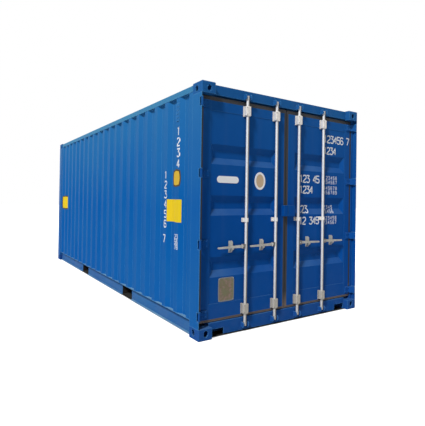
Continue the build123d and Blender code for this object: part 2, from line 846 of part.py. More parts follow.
def leaf_seal(side):
    """Rubber gasket round the leaf's edges."""
    sign = SIDES[side]
    jamb = HALF_WIDTH - REAR_POST_WIDTH
    ring = slab(
        rear(SEAL_FRONT),
        rear(SEAL_FRONT + SEAL_DEPTH),
        sign * SEAL_CENTRE_GAP / 2,
        sign * (jamb - SEAL_GAP),
        SILL_TOP + SEAL_GAP,
        min(HEADER_BOTTOM, POST_TOP) - SEAL_GAP,
    )
    return ring - slab(
        rear(SEAL_FRONT),
        rear(SEAL_FRONT + SEAL_DEPTH),
        sign * LEAF_LOCK_EDGE,
        sign * LEAF_HINGE_EDGE,
        LEAF_BOTTOM,
        LEAF_TOP,
    )


# Hinges


def hinge_lugs(side):
    """Pairs of lugs on the post, each pair holding a fixed pin."""
    x, y = rear(HINGE_PIN_DEPTH), flank(side, HINGE_PIN_INSET)
    inner_edge = HINGE_PIN_INSET + HINGE_KNUCKLE_RADIUS
    inner = HINGE_BLADE_HEIGHT / 2 + HINGE_LUG_CLEARANCE
    outer = inner + HINGE_LUG_THICKNESS
    pairs = []
    for z in HINGE_HEIGHTS:
        pair = rod((x, y, z - outer), (x, y, z + outer), HINGE_PIN_RADIUS)
        for low in (z - outer, z + inner):
            pair += slab(
                rear(POST_LIP_START),
                rear(END_BEAM_FACE),
                flank(side, REAR_POST_OUTER_WALL),
                flank(side, inner_edge),
                low,
                low + HINGE_LUG_THICKNESS,
            )
        pairs.append(pair)
    return pairs


def hinge_blades(side):
    """Cranked blades from the leaf's face out to the pins in the post lip."""
    half = HINGE_BLADE_THICKNESS / 2
    pin = Vector(HINGE_PIN_DEPTH, HINGE_PIN_INSET)
    bend = Vector(LEAF_FACE - half, LEAF_HINGE_EDGE_DEPTH + half)
    across = (bend - pin).normalized().rotate(Axis.Z, 90) * half
    arm_outline = [pin - across, bend - across, bend + across, pin + across]
    arm_points = [(rear(point.X), flank(side, point.Y)) for point in arm_outline]
    x, y = rear(pin.X), flank(side, pin.Y)
    blades = []
    for z in HINGE_HEIGHTS:
        low, high = z - HINGE_BLADE_HEIGHT / 2, z + HINGE_BLADE_HEIGHT / 2
        blade = upright(arm_points, low, high)
        blade += hub(x, y, low, high, HINGE_KNUCKLE_RADIUS)
        blade += slab(
            rear(LEAF_FACE - HINGE_BLADE_THICKNESS),
            rear(LEAF_FACE),
            flank(side, LEAF_HINGE_EDGE_DEPTH),
            flank(side, LEAF_HINGE_EDGE_DEPTH + HINGE_BLADE_LAP),
            low,
            high,
        )
        bore = HINGE_PIN_RADIUS + HINGE_PIN_CLEARANCE
        blades.append(blade - rod((x, y, low - OVERCUT), (x, y, high + OVERCUT), bore))
    return blades


# Locking gear


def cam(x, y, sign, bottom):
    """Forged cam on a bar: a many-sided hub with a tapered lobe towards the hinge side."""
    top = bottom + CAM_HEIGHT
    root, tip = CAM_LOBE_ROOT / 2, CAM_LOBE_TIP / 2
    lobe = [
        (x - root, y),
        (x - tip, y + sign * CAM_LONG_REACH),
        (x + tip, y + sign * CAM_LONG_REACH),
        (x + root, y),
    ]
    return hub(x, y, bottom, top, CAM_REACH) + upright(lobe, bottom, top)


def locking_bar(side, place):
    """Round bar with a cam at each end, and a fork with a fixed pin for the handle."""
    sign = SIDES[side]
    x, y = rear(BAR_DEPTH), sign * BAR_OFFSETS[place]
    bar = rod((x, y, BAR_BOTTOM), (x, y, BAR_TOP), BAR_RADIUS)
    bar += cam(x, y, sign, BAR_BOTTOM)
    bar += cam(x, y, sign, BAR_TOP - CAM_HEIGHT)
    low, high = HANDLE_HEIGHT - HUB_HEIGHT / 2, HANDLE_HEIGHT + HUB_HEIGHT / 2
    pivot = y + sign * HANDLE_PIVOT
    half = HANDLE_THICKNESS / 2 + HUB_SIDE_GAP
    for direction in (-1, 1):
        bar += slab(
            x + direction * half,
            x + direction * (half + HUB_CHEEK),
            y,
            pivot + sign * HUB_END,
            low,
            high,
        )
    slot = slab(
        x - half,
        x + half,
        y + sign * BAR_RADIUS,
        pivot + sign * (HUB_END + OVERCUT),
        low - OVERCUT,
        high + OVERCUT,
    )
    reach = half + HUB_CHEEK
    pin = rod((x - reach, pivot, HANDLE_HEIGHT), (x + reach, pivot, HANDLE_HEIGHT), HANDLE_PIN_RADIUS)
    return bar - slot + pin


def bar_handle(side, place):
    """Flat tapered handle with an eye for the fork's pin."""
    sign = SIDES[side]
    x = rear(BAR_DEPTH)
    bar_y = sign * BAR_OFFSETS[place]
    pivot, tip = bar_y + sign * HANDLE_PIVOT, bar_y + sign * HANDLE_LENGTH
    eye = HANDLE_ROOT / 2
    back = x - HANDLE_THICKNESS / 2
    heel = pivot - sign * eye
    corner = sign * HANDLE_CORNER
    outline = [
        (heel, eye - HANDLE_CORNER),
        (heel + corner, eye),
        (pivot + sign * HUB_END, eye),
        (tip - corner, HANDLE_TIP - eye),
        (tip, HANDLE_TIP - eye - HANDLE_CORNER),
        (tip, HANDLE_CORNER - eye),
        (tip - corner, -eye),
        (heel + corner, -eye),
        (heel, HANDLE_CORNER - eye),
    ]
    blade = prism(
        [(back, y, HANDLE_HEIGHT + z) for y, z in outline], (1, 0, 0), HANDLE_THICKNESS
    )
    return blade - rod(
        (back - OVERCUT, pivot, HANDLE_HEIGHT),
        (back + HANDLE_THICKNESS + OVERCUT, pivot, HANDLE_HEIGHT),
        HANDLE_PIN_RADIUS + HANDLE_PIN_CLEARANCE,
    )


def bar_bearing(side, place, low, high, seat):
    """Strap bent round the front of a bar as half an octagon, with a foot on each side."""
    y = SIDES[side] * BAR_OFFSETS[place]
    foot = BRACKET_FOOT_WIDTH / 2
    inner = BAR_RADIUS + BAR_CLEARANCE
    outer = inner + BRACKET_WALL
    half_flat = tan(pi / 8)
    bends = {
        reach: [(BAR_DEPTH - reach * half_flat, reach), (BAR_DEPTH - reach, reach * half_flat)]
        for reach in (inner, outer)
    }
    outside = [(seat, foot), (seat - BRACKET_FOOT, foot), (seat - BRACKET_FOOT, outer)] + bends[outer]
    inside = [(seat, inner)] + bends[inner]
    far_outside = [(depth, -across) for depth, across in reversed(outside)]
    far_inside = [(depth, -across) for depth, across in inside]
    outline = outside + far_outside + far_inside + inside[::-1]
    return upright([(rear(depth), y + across) for depth, across in outline], low, high)


def bar_brackets(side):
    """Top and bottom bearings and the guide at mid height, for both bars of a leaf."""
    rows = (
        (LEAF_BOTTOM + BRACKET_END_GAP, LEAF_BOTTOM + BRACKET_END_GAP + BRACKET_HEIGHT, LEAF_FACE),
        (GUIDE_CENTRE - GUIDE_HEIGHT / 2, GUIDE_CENTRE + GUIDE_HEIGHT / 2, PANEL_FACE),
        (LEAF_TOP - BRACKET_END_GAP - BRACKET_HEIGHT, LEAF_TOP - BRACKET_END_GAP, LEAF_FACE),
    )
    return [bar_bearing(side, place, *row) for place in BAR_OFFSETS for row in rows]


def handle_catches(side):
    """Plates behind the handles, each with a hook that carries the handle and a latch above it."""
    sign = SIDES[side]
    low, high = HANDLE_HEIGHT - CATCH_HEIGHT / 2, HANDLE_HEIGHT + CATCH_HEIGHT / 2
    plate_front = PANEL_FACE - CATCH_PLATE
    latch_front = BAR_DEPTH + HANDLE_THICKNESS / 2 + CATCH_CLEARANCE
    shelf = HANDLE_HEIGHT - HANDLE_ROOT / 2 - CATCH_SHELF_GAP
    hook = [
        (plate_front, shelf),
        (CATCH_SHELF_FRONT, shelf),
        (CATCH_SHELF_FRONT, shelf - CATCH_SHELF),
        (plate_front, low),
    ]
    latch = [
        (plate_front, HANDLE_HEIGHT),
        (latch_front, HANDLE_HEIGHT),
        (latch_front, high - CATCH_SHELF),
        (plate_front, high),
    ]
    catches = []
    for offset in BAR_OFFSETS.values():
        y = sign * (offset + CATCH_OFFSET)
        sides = (y - CATCH_WIDTH / 2, y + CATCH_WIDTH / 2)
        catch = slab(rear(plate_front), rear(PANEL_FACE), *sides, low, high)
        for outline, width in ((hook, CATCH_HOOK_WIDTH), (latch, CATCH_LATCH_WIDTH)):
            points = [(rear(depth), y - width / 2, z) for depth, z in outline]
            catch += prism(points, (0, 1, 0), width)
        catches.append(catch)
    return catches


def cam_keepers(bottom, outward):
    """Keepers on an end beam: two cheeks beside each cam, joined by a bridge past its end."""
    low, high = bottom, bottom + CAM_HEIGHT
    start, end = (low, high) if outward > 0 else (high, low)
    bridge = (end + outward * KEEPER_CLEARANCE, end + outward * (KEEPER_CLEARANCE + KEEPER_BRIDGE))
    reach = KEEPER_GAP + KEEPER_CHEEK
    cheek = [
        (END_BEAM_FACE, start),
        (KEEPER_FRONT + KEEPER_SLANT, start),
        (KEEPER_FRONT, start + outward * KEEPER_SLANT),
        (KEEPER_FRONT, bridge[0]),
        (KEEPER_FRONT + KEEPER_SLANT, bridge[1]),
        (END_BEAM_FACE, bridge[1]),
    ]
    base = (rear(END_BEAM_FACE - KEEPER_BASE), rear(END_BEAM_FACE))
    keepers = []
    for sign in SIDES.values():
        for offset in BAR_OFFSETS.values():
            y = sign * offset
            keeper = slab(*base, y - reach, y + reach, *bridge)
            for inner in (-reach, KEEPER_GAP):
                points = [(rear(depth), y + inner, z) for depth, z in cheek]
                keeper += prism(points, (0, 1, 0), KEEPER_CHEEK)
            keepers.append(keeper)
    return keepers


def lock_box(side):
    """Half of the padlock box: a steel hood open below."""
    sign = SIDES[side]
    near, far = sign * SEAL_CENTRE_GAP / 2, sign * LOCK_BOX_REACH[side]
    low, high = LOCK_BOX_BOTTOM, LOCK_BOX_BOTTOM + LOCK_BOX_HEIGHT
    wall = LOCK_BOX_WALL
    hood = slab(rear(LOCK_BOX_FRONT), rear(LEAF_FACE), near, far, low, high)
    return hood - slab(
        rear(LOCK_BOX_FRONT + wall), rear(LEAF_FACE), near, far - sign * wall, low, high - wall
    )


def parts():
    """Every node's name with its solid or list of solids."""
    made = {}
    for level, top in (("bottom", False), ("top", True)):
        for end_name, end in (("front", -1), ("rear", 1)):
            for side in SIDES:
                made[f"{level}_{end_name}_{side}_corner_fitting"] = corner_fitting(end, side, top)
    for side in SIDES:
        made[f"{side}_bottom_side_rail"] = side_rail(side)
        made[f"{side}_top_side_rail"] = top_rail(side)
        made[f"{side}_side_wall"] = side_wall(side)
        made[f"{side}_side_vent"] = side_vent(side)
        made[f"{side}_rear_post"] = rear_post(side)
        made[f"{side}_front_post"] = front_post(side)
        made[f"{side}_post_hinge_lugs"] = hinge_lugs(side)
        made[f"{side}_door_hinge_blades"] = hinge_blades(side)
        made[f"{side}_door_stiles"] = leaf_stiles(side)
        made[f"{side}_door_rails"] = leaf_rails(side)
        made[f"{side}_door_panel"] = leaf_panel(side)
        made[f"{side}_door_gasket"] = leaf_seal(side)
        made[f"{side}_door_bar_brackets"] = bar_brackets(side)
        made[f"{side}_door_handle_catches"] = handle_catches(side)
        made[f"{side}_lock_box"] = lock_box(side)
        for place in BAR_OFFSETS:
            made[f"{side}_{place}_locking_bar"] = locking_bar(side, place)
            made[f"{side}_{place}_handle"] = bar_handle(side, place)
    made["cross_members"] = cross_members()
    made["front_fork_pocket"], made["rear_fork_pocket"] = map(fork_pocket, POCKET_CENTRES)
    made["floor_panels"] = floor_panels()
    made["front_wall"] = front_wall()
    made["front_bottom_beam"] = front_beam(BASE_CLEARANCE, SIDE_RAIL_TOP)
    made["front_top_beam"] = front_top_beam()
    made["roof"] = roof_sheet()
    made["roof_corner_plates"] = roof_corner_plates()
    made["door_header"] = door_header()
    made["door_sill"] = door_sill()
    made["header_cam_keepers"] = cam_keepers(BAR_TOP - CAM_HEIGHT, 1)
    made["sill_cam_keepers"] = cam_keepers(BAR_BOTTOM, -1)
    return made


def main():
    os.makedirs("parts", exist_ok=True)
    for name, shape in parts().items():
        solids = shape if isinstance(shape, list) else [shape]
        body = Compound(children=solids) if len(solids) > 1 else solids[0]
        export_step(body, f"parts/{name}.step")


main()
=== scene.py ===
# %% [markdown]
# A twenty-foot freight container. The steel box, its doors and its locking gear come in from the
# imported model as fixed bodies. This lesson lights and photographs them, paints them with
# procedural finishes, and adds the small and thin things that sit on the steel: stickers, plates,
# stencilled numerals, bearing housings, bolt heads, weld beads and rubber lips.

import math

import bmesh
import bpy
import numpy as np
from mathutils import Matrix, Vector


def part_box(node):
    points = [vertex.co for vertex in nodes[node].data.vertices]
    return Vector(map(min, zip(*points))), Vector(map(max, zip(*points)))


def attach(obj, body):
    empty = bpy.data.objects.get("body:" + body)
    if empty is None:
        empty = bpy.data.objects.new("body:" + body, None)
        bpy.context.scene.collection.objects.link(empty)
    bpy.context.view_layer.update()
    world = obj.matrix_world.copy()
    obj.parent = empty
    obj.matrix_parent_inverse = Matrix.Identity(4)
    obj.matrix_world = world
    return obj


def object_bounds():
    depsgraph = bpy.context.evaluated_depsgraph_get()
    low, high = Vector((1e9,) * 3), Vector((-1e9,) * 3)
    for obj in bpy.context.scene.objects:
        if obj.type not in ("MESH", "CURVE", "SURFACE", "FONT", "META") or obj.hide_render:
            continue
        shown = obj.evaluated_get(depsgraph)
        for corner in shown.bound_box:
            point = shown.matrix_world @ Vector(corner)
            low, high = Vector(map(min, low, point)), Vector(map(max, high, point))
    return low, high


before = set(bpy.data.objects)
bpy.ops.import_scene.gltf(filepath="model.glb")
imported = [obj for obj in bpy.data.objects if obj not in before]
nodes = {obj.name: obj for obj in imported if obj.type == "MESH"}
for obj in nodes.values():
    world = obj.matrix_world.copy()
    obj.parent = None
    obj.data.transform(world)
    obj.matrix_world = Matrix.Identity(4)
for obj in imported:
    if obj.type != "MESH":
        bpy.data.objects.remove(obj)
cad_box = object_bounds()

# %% [markdown]
# The photograph was taken from in front of the doors, a little to the left of the box and at about
# eye height. A camera is a place, a direction and a focal length. Its roll and its shift are
# small, and they only set the framing.

# %% Camera
PHOTO_SIZE = (425, 426)
FOCAL_PIXELS = 392.05
PRINCIPAL_PIXEL = (208.45, 194.65)
SENSOR_MM = 36.0
CLIP_END = 200
CAMERA_PLACE = Vector((6.2992, -3.2675, 1.4129))
CAMERA_YAW = math.radians(33.224)
CAMERA_PITCH = math.radians(0.603)
CAMERA_ROLL = math.radians(0.877)


def add_camera():
    """Looks along yaw and pitch, then rolls the right and up directions about that line."""
    forward = Vector((
        -math.cos(CAMERA_YAW) * math.cos(CAMERA_PITCH),
        math.sin(CAMERA_YAW) * math.cos(CAMERA_PITCH),
        math.sin(CAMERA_PITCH),
    ))
    level = forward.cross(Vector((0, 0, 1))).normalized()
    upright = level.cross(forward)
    right = level * math.cos(CAMERA_ROLL) + upright * math.sin(CAMERA_ROLL)
    up = upright * math.cos(CAMERA_ROLL) - level * math.sin(CAMERA_ROLL)
    lens = bpy.data.cameras.new("photo_camera")
    long_side = max(PHOTO_SIZE)
    lens.sensor_width = SENSOR_MM
    lens.lens = SENSOR_MM * FOCAL_PIXELS / long_side
    lens.shift_x = (PHOTO_SIZE[0] / 2 - PRINCIPAL_PIXEL[0]) / long_side
    lens.shift_y = (PRINCIPAL_PIXEL[1] - PHOTO_SIZE[1] / 2) / long_side
    lens.clip_end = CLIP_END
    camera = bpy.data.objects.new("photo_camera", lens)
    turn = Matrix((right, up, -forward)).transposed()
    camera.matrix_world = Matrix.Translation(CAMERA_PLACE) @ turn.to_4x4()
    bpy.context.collection.objects.link(camera)
    bpy.context.scene.camera = camera
    return camera


camera = add_camera()
print("camera lens", round(camera.data.lens, 2), "mm")

# %% [markdown]
# Every finish here is a small graph of shader nodes. A few helpers keep the graphs short: one adds
# a node with its values, one starts a group, and the rest are a place, a noise, a ramp, a mix of
# colours, and a sum or product. A look is a noise with the part of its range that is drawn out,
# so patches get clear edges.

# %% Node helpers
NOISE_ROUGHNESS = 0.55
EVEN = (1, 1, 1)
MIX_INPUTS = (0, 6, 7)
MIX_RESULT = 2


def add_node(tree, kind, **values):
    """Adds a node, setting properties by name and input sockets by name or place."""
    made = tree.nodes.new(kind)
    sockets = values.pop("sockets", {})
    for name, value in values.items():
        setattr(made, name, value)
    for name, value in sockets.items():
        if isinstance(value, bpy.types.NodeSocket):
            tree.links.new(value, made.inputs[name])
        else:
            made.inputs[name].default_value = value
    return made


def new_group(name, inputs, outputs):
    """An empty shader node group with (kind, name, default) inputs and (kind, name) outputs."""
    group = bpy.data.node_groups.new(name, "ShaderNodeTree")
    for kind, label, value in inputs:
        socket = group.interface.new_socket(label, in_out="INPUT", socket_type=kind)
        socket.default_value = value
    for kind, label in outputs:
        group.interface.new_socket(label, in_out="OUTPUT", socket_type=kind)
    start = group.nodes.new("NodeGroupInput")
    end = group.nodes.new("NodeGroupOutput")
    return group, start.outputs, end.inputs


def own_place(tree):
    """Object coordinates, which on these pieces are metres in the container's frame."""
    return add_node(tree, "ShaderNodeTexCoord").outputs["Object"]


def part_of(tree, vector, axis):
    """One coordinate of a vector."""
    return add_node(tree, "ShaderNodeSeparateXYZ", sockets={0: vector}).outputs[axis]


def noise(tree, coordinates, scale, stretch=EVEN, detail=4.0):
    """Fractal noise on stretched coordinates, as a value from 0 to 1."""
    mapping = {"Vector": coordinates, "Scale": stretch}
    stretched = add_node(tree, "ShaderNodeMapping", sockets=mapping).outputs["Vector"]
    texture = add_node(
        tree,
        "ShaderNodeTexNoise",
        sockets={
            "Vector": stretched,
            "Scale": scale,
            "Detail": detail,
            "Roughness": NOISE_ROUGHNESS,
        },
    )
    return texture.outputs["Fac"]


def ramp(tree, value, low, high, to_low=0.0, to_high=1.0):
    """Maps low..high to to_low..to_high and clamps there."""
    mapped = add_node(
        tree,
        "ShaderNodeMapRange",
        sockets={
            "Value": value,
            "From Min": low,
            "From Max": high,
            "To Min": to_low,
            "To Max": to_high,
        },
    )
    return mapped.outputs["Result"]


def patches(tree, coordinates, look, to_low=0.0, to_high=1.0):
    """Noise of one look (scale, stretch, detail, low, high), drawn out between low and high."""
    scale, stretch, detail, low, high = look
    return ramp(tree, noise(tree, coordinates, scale, stretch, detail), low, high, to_low, to_high)


def blend_colours(tree, factor, first, second):
    """Mixes two colours by a factor, through the Mix node's colour sockets."""
    given = dict(zip(MIX_INPUTS, (factor, first, second)))
    mixed = add_node(tree, "ShaderNodeMix", data_type="RGBA", sockets=given)
    return mixed.outputs[MIX_RESULT]


def combine(tree, operation, first, second):
    """One arithmetic step on two values or sockets."""
    return add_node(
        tree, "ShaderNodeMath", operation=operation, sockets={0: first, 1: second}
    ).outputs[0]


def times(tree, first, second):
    """Product of two values or sockets."""
    return combine(tree, "MULTIPLY", first, second)


print("helpers ready")

# %% [markdown]
# The photograph has a plain white background. A studio gets it from a pale floor and a white
# backdrop, and neither may pour light onto the steel. So the world shows white only to rays from
# the camera and to reflections, and lights the box softly. The floor adds a little of its own
# white for the camera alone, so it fades into the backdrop and still keeps the shadow. Under the
# box it is painted dark and has none of that white: painted shade.

# %% Floor and world
FLOOR_REACH = 60.0
FLOOR_COLOUR = (0.64, 0.64, 0.64, 1)
FLOOR_ROUGHNESS = 0.9
FLOOR_OWN_WHITE = 0.90
FLOOR_PAINTED_SHADE = (0.03, 0.028, 0.026, 1)
FLOOR_EDGE = 0.03
WORLD_STRENGTH = 0.22
WHITE = (1, 1, 1, 1)


def floor_material():
    """Pale matte floor with painted shade under the box, and its own white for camera rays only."""
    material = bpy.data.materials.new("studio_floor")
    material.use_nodes = True
    tree = material.node_tree
    shader = tree.nodes["Principled BSDF"]
    shader.inputs["Roughness"].default_value = FLOOR_ROUGHNESS
    shader.inputs["Specular IOR Level"].default_value = 0.0
    shader.inputs["Emission Color"].default_value = WHITE
    here = own_place(tree)
    past = []
    for axis, half in (("X", cad_box[1].x), ("Y", cad_box[1].y)):
        away = combine(tree, "ABSOLUTE", part_of(tree, here, axis), 0.0)
        past.append(ramp(tree, away, half - 2 * FLOOR_EDGE, half - FLOOR_EDGE))
    outside = combine(tree, "MAXIMUM", *past)
    # Painted shade: inside the box's outline the floor's colour is dark.
    colour = blend_colours(tree, outside, FLOOR_PAINTED_SHADE, FLOOR_COLOUR)
    tree.links.new(colour, shader.inputs["Base Color"])
    camera_ray = add_node(tree, "ShaderNodeLightPath").outputs["Is Camera Ray"]
    own_white = times(tree, times(tree, camera_ray, outside), FLOOR_OWN_WHITE)
    tree.links.new(own_white, shader.inputs["Emission Strength"])
    return material


def add_floor():
    """One flat square at ground level."""
    reach = FLOOR_REACH
    corners = [(-reach, -reach, 0), (reach, -reach, 0), (reach, reach, 0), (-reach, reach, 0)]
    mesh = bpy.data.meshes.new("studio_floor")
    mesh.from_pydata(corners, [], [(0, 1, 2, 3)])
    mesh.materials.append(floor_material())
    floor = bpy.data.objects.new("studio_floor", mesh)
    bpy.context.collection.objects.link(floor)


def add_world():
    """White for camera, glossy and transmission rays, and a dimmer white for light."""
    world = bpy.data.worlds.new("studio_world")
    world.use_nodes = True
    tree = world.node_tree
    background = tree.nodes["Background"]
    background.inputs["Color"].default_value = WHITE
    path = add_node(tree, "ShaderNodeLightPath").outputs
    shown = path["Is Camera Ray"]
    for ray in ("Is Glossy Ray", "Is Transmission Ray"):
        shown = combine(tree, "MAXIMUM", shown, path[ray])
    strength = ramp(tree, shown, 0.0, 1.0, WORLD_STRENGTH, 1.0)
    tree.links.new(strength, background.inputs["Strength"])
    bpy.context.scene.world = world


add_floor()
add_world()
bpy.context.scene.view_settings.view_transform = "Standard"
print("floor and world ready")

# %% [markdown]
# The photograph was taken under a hazy sun. Its shadows tell where the sun stood: left of the box
# and high up, so the long side is bright, the doors are grazed, and the post, the header and the
# bars throw soft shadows on the leaves. A broad weak lamp behind the box fills the sides that the
# photograph doesn't show.

# %% Lamps
SUN_DIRECTION = Vector((0.30, -0.65, 0.70))
SUN_DISTANCE = 12
SUN_STRENGTH = 2.95
SUN_ANGLE = math.radians(8)
FILL_PLACE = Vector((-9.0, 9.0, 8.0))
FILL_SIZE = 8.0
FILL_POWER = 700.0


def add_lamp(name, kind, place, facing):
    """A lamp at a place, turned to shine along a direction."""
    lamp = bpy.data.lights.new(name, kind)
    holder = bpy.data.objects.new(name, lamp)
    holder.location = place
    holder.rotation_euler = facing.to_track_quat("-Z", "Y").to_euler()
    bpy.context.collection.objects.link(holder)
    return lamp


sun = add_lamp("sun", "SUN", SUN_DIRECTION * SUN_DISTANCE, -SUN_DIRECTION)
sun.energy = SUN_STRENGTH
sun.angle = SUN_ANGLE
fill = add_lamp("back_fill", "AREA", FILL_PLACE, -FILL_PLACE)
fill.energy = FILL_POWER
fill.size = FILL_SIZE
print("lamps", len(bpy.data.lights))

# %% [markdown]
# Paint on a container is never one flat blue. It bleaches towards the top in broad clouds, rain
# draws faint streaks down it, dust gathers low, and small chips show rust. Faces turned upwards
# are paler, partly with settled dust and partly as painted light, and edges are pale, partly with
# worn paint and partly as a painted highlight. All painted materials share this, so it is one
# shader node group with named inputs. It reads Object coordinates, which on these pieces are plain
# metres in the container's own frame.

# %% Weathered paint group, with painted light
DUST_COLOUR = (0.30, 0.30, 0.29, 1)
DUST_COVER = 0.55
LOW_DUST_HEIGHTS = (0.75, 0.05)
STREAK_SHARE = 0.45
LEDGE_DUST_AND_LIGHT_COLOUR = (0.30, 0.50, 0.54, 1)
LEDGE_FACING = (0.25, 0.95)
LEDGE_LEAST = 0.25
RUST_COLOUR = (0.16, 0.055, 0.02, 1)
FADED_COLOUR = (0.050, 0.235, 0.43, 1)
BLEACHED_HEIGHTS = (1.3, 2.5)
BLEACHING = 2.4
EDGE_WEAR_AND_HIGHLIGHT_COLOUR = (0.13, 0.38, 0.64, 1)
EDGE_RADIUS = 0.009
EDGE_SAMPLES = 6
EDGE_LIKENESS = (0.96, 0.80)
CLOUDS = (0.9, EVEN, 4.0, 0.35, 0.75)
STREAKS = (7.0, (1, 1, 0.035), 3.0, 0.52, 0.78)
DUST_PATCHES = (5.0, EVEN, 4.0, 0.3, 0.8)
LEDGE_PATCHES = (1.3, EVEN, 4.0, 0.38, 0.66)
SPECKS = (38.0, EVEN, 2.0, 0.745, 0.775)
SPECK_AREAS = (2.3, EVEN, 4.0, 0.5, 0.7)
DUST_ROUGHENS, CHIPS_ROUGHEN, CLOUDS_ROUGHEN = 0.3, 0.3, 0.08
PEEL_SCALE, PEEL_HEIGHT = 160.0, 0.25
WAVINESS_SCALE, WAVINESS_HEIGHT = 3.5, 3.0
RELIEF_DETAIL = 2.0
CHIP_SINK = 0.3


def weathered_and_lit_paint():
    """Fading, streaks, low dust, chips; upward faces and edges paler, partly painted light."""
    group, given, put = new_group(
        "weathered_and_lit_paint",
        [
            ("NodeSocketColor", "Paint", (0.01, 0.12, 0.42, 1)),
            ("NodeSocketFloat", "Fading", 0.25),
            ("NodeSocketFloat", "Dust", 0.25),
            ("NodeSocketFloat", "Ledge dust and light", 0.6),
            ("NodeSocketFloat", "Edge wear and highlight", 0.5),
            ("NodeSocketFloat", "Chips", 0.3),
            ("NodeSocketFloat", "Gloss", 0.38),
        ],
        [
            ("NodeSocketColor", "Colour"),
            ("NodeSocketFloat", "Roughness"),
            ("NodeSocketFloat", "Height"),
        ],
    )
    here = own_place(group)
    height = part_of(group, here, "Z")
    clouds = patches(group, here, CLOUDS)
    bleached = ramp(group, height, *BLEACHED_HEIGHTS, 0.0, BLEACHING)
    fade = times(group, combine(group, "ADD", clouds, bleached), given["Fading"])
    colour = blend_colours(group, fade, given["Paint"], FADED_COLOUR)
    streaks = times(group, patches(group, here, STREAKS), given["Dust"])
    low = ramp(group, height, *LOW_DUST_HEIGHTS)
    low_dust = times(group, times(group, low, patches(group, here, DUST_PATCHES)), given["Dust"])
    dust = combine(group, "MAXIMUM", times(group, streaks, STREAK_SHARE), low_dust)
    facing = add_node(group, "ShaderNodeNewGeometry").outputs["Normal"]
    upward = part_of(group, facing, "Z")
    colour = blend_colours(group, times(group, dust, DUST_COVER), colour, DUST_COLOUR)
    # Upward faces grow paler: partly settled dust, partly painted light from above.
    settled_and_lit = times(group, ramp(group, upward, *LEDGE_FACING), given["Ledge dust and light"])
    settled_and_lit = times(group, settled_and_lit, patches(group, here, LEDGE_PATCHES, LEDGE_LEAST))
    colour = blend_colours(group, settled_and_lit, colour, LEDGE_DUST_AND_LIGHT_COLOUR)
    # Edges take a pale colour: partly worn paint, partly a painted highlight.
    bevel = {"Radius": EDGE_RADIUS}
    rounded = add_node(group, "ShaderNodeBevel", samples=EDGE_SAMPLES, sockets=bevel)
    likeness = add_node(
        group,
        "ShaderNodeVectorMath",
        operation="DOT_PRODUCT",
        sockets={0: rounded.outputs["Normal"], 1: facing},
    )
    edges = ramp(group, likeness.outputs["Value"], *EDGE_LIKENESS)
    colour = blend_colours(group, times(group, edges, given["Edge wear and highlight"]), colour, EDGE_WEAR_AND_HIGHLIGHT_COLOUR)
    specks = times(group, patches(group, here, SPECKS), patches(group, here, SPECK_AREAS))
    chips = times(group, specks, given["Chips"])
    colour = blend_colours(group, chips, colour, RUST_COLOUR)
    group.links.new(colour, put["Colour"])
    rough = combine(group, "ADD", given["Gloss"], times(group, dust, DUST_ROUGHENS))
    rough = combine(group, "ADD", rough, times(group, chips, CHIPS_ROUGHEN))
    rough = combine(group, "ADD", rough, times(group, clouds, CLOUDS_ROUGHEN))
    group.links.new(rough, put["Roughness"])
    peel = times(group, noise(group, here, PEEL_SCALE, detail=RELIEF_DETAIL), PEEL_HEIGHT)
    wavy = noise(group, here, WAVINESS_SCALE, detail=RELIEF_DETAIL)
    relief = combine(group, "ADD", peel, times(group, wavy, WAVINESS_HEIGHT))
    relief = combine(group, "SUBTRACT", relief, times(group, chips, CHIP_SINK))
    group.links.new(relief, put["Height"])
    return group


paint_group = weathered_and_lit_paint()
print("group", paint_group.name, "has", len(paint_group.nodes), "nodes")

# %% [markdown]
# Each paint is then a small material: the group gives colour, roughness and relief, and the
# Principled shader stays in the material itself.

# %% Paint materials
BUMP_STRENGTH = 0.5
BUMP_DISTANCE = 0.001
PAINT_SPECULAR = 0.04


def shader_with_bump(name):
    """A fresh material, its Principled shader and the Bump node that feeds its Normal."""
    material = bpy.data.materials.new(name)
    material.use_nodes = True
    tree = material.node_tree
    shader = tree.nodes["Principled BSDF"]
    relief = {"Strength": BUMP_STRENGTH, "Distance": BUMP_DISTANCE}
    bump = add_node(tree, "ShaderNodeBump", sockets=relief)
    tree.links.new(bump.outputs["Normal"], shader.inputs["Normal"])
    return material, tree, shader, bump


def paint(name, colour, fading=0.0, dust=0.15, chips=0.0, gloss=0.45, ledge=0.2, edge=0.0):
    """Weathered paint of one colour, with painted light on its edges and upward faces."""
    material, tree, shader, bump = shader_with_bump(name)
    wear = {
        "Paint": (*colour, 1),
        "Fading": fading,
        "Dust": dust,
        "Ledge dust and light": ledge,
        "Edge wear and highlight": edge,
        "Chips": chips,
        "Gloss": gloss,
    }
    worn = add_node(tree, "ShaderNodeGroup", node_tree=paint_group, sockets=wear)
    shader.inputs["Specular IOR Level"].default_value = PAINT_SPECULAR
    tree.links.new(worn.outputs["Colour"], shader.inputs["Base Color"])
    tree.links.new(worn.outputs["Roughness"], shader.inputs["Roughness"])
    tree.links.new(worn.outputs["Height"], bump.inputs["Height"])
    return material


skin_paint = paint(
    "skin_paint", (0.0005, 0.100, 0.37),
    fading=0.14, dust=0.05, chips=0.25, gloss=0.42, ledge=0.35, edge=0.7,
)
# The doors' blue is a darker copy of the walls' blue: painted shade for the door end, which the sun
# only grazes.
door_paint = paint(
    "door_paint", (0.001, 0.065, 0.30),
    fading=0.06, dust=0.10, chips=0.35, gloss=0.42, ledge=0.35, edge=0.15,
)
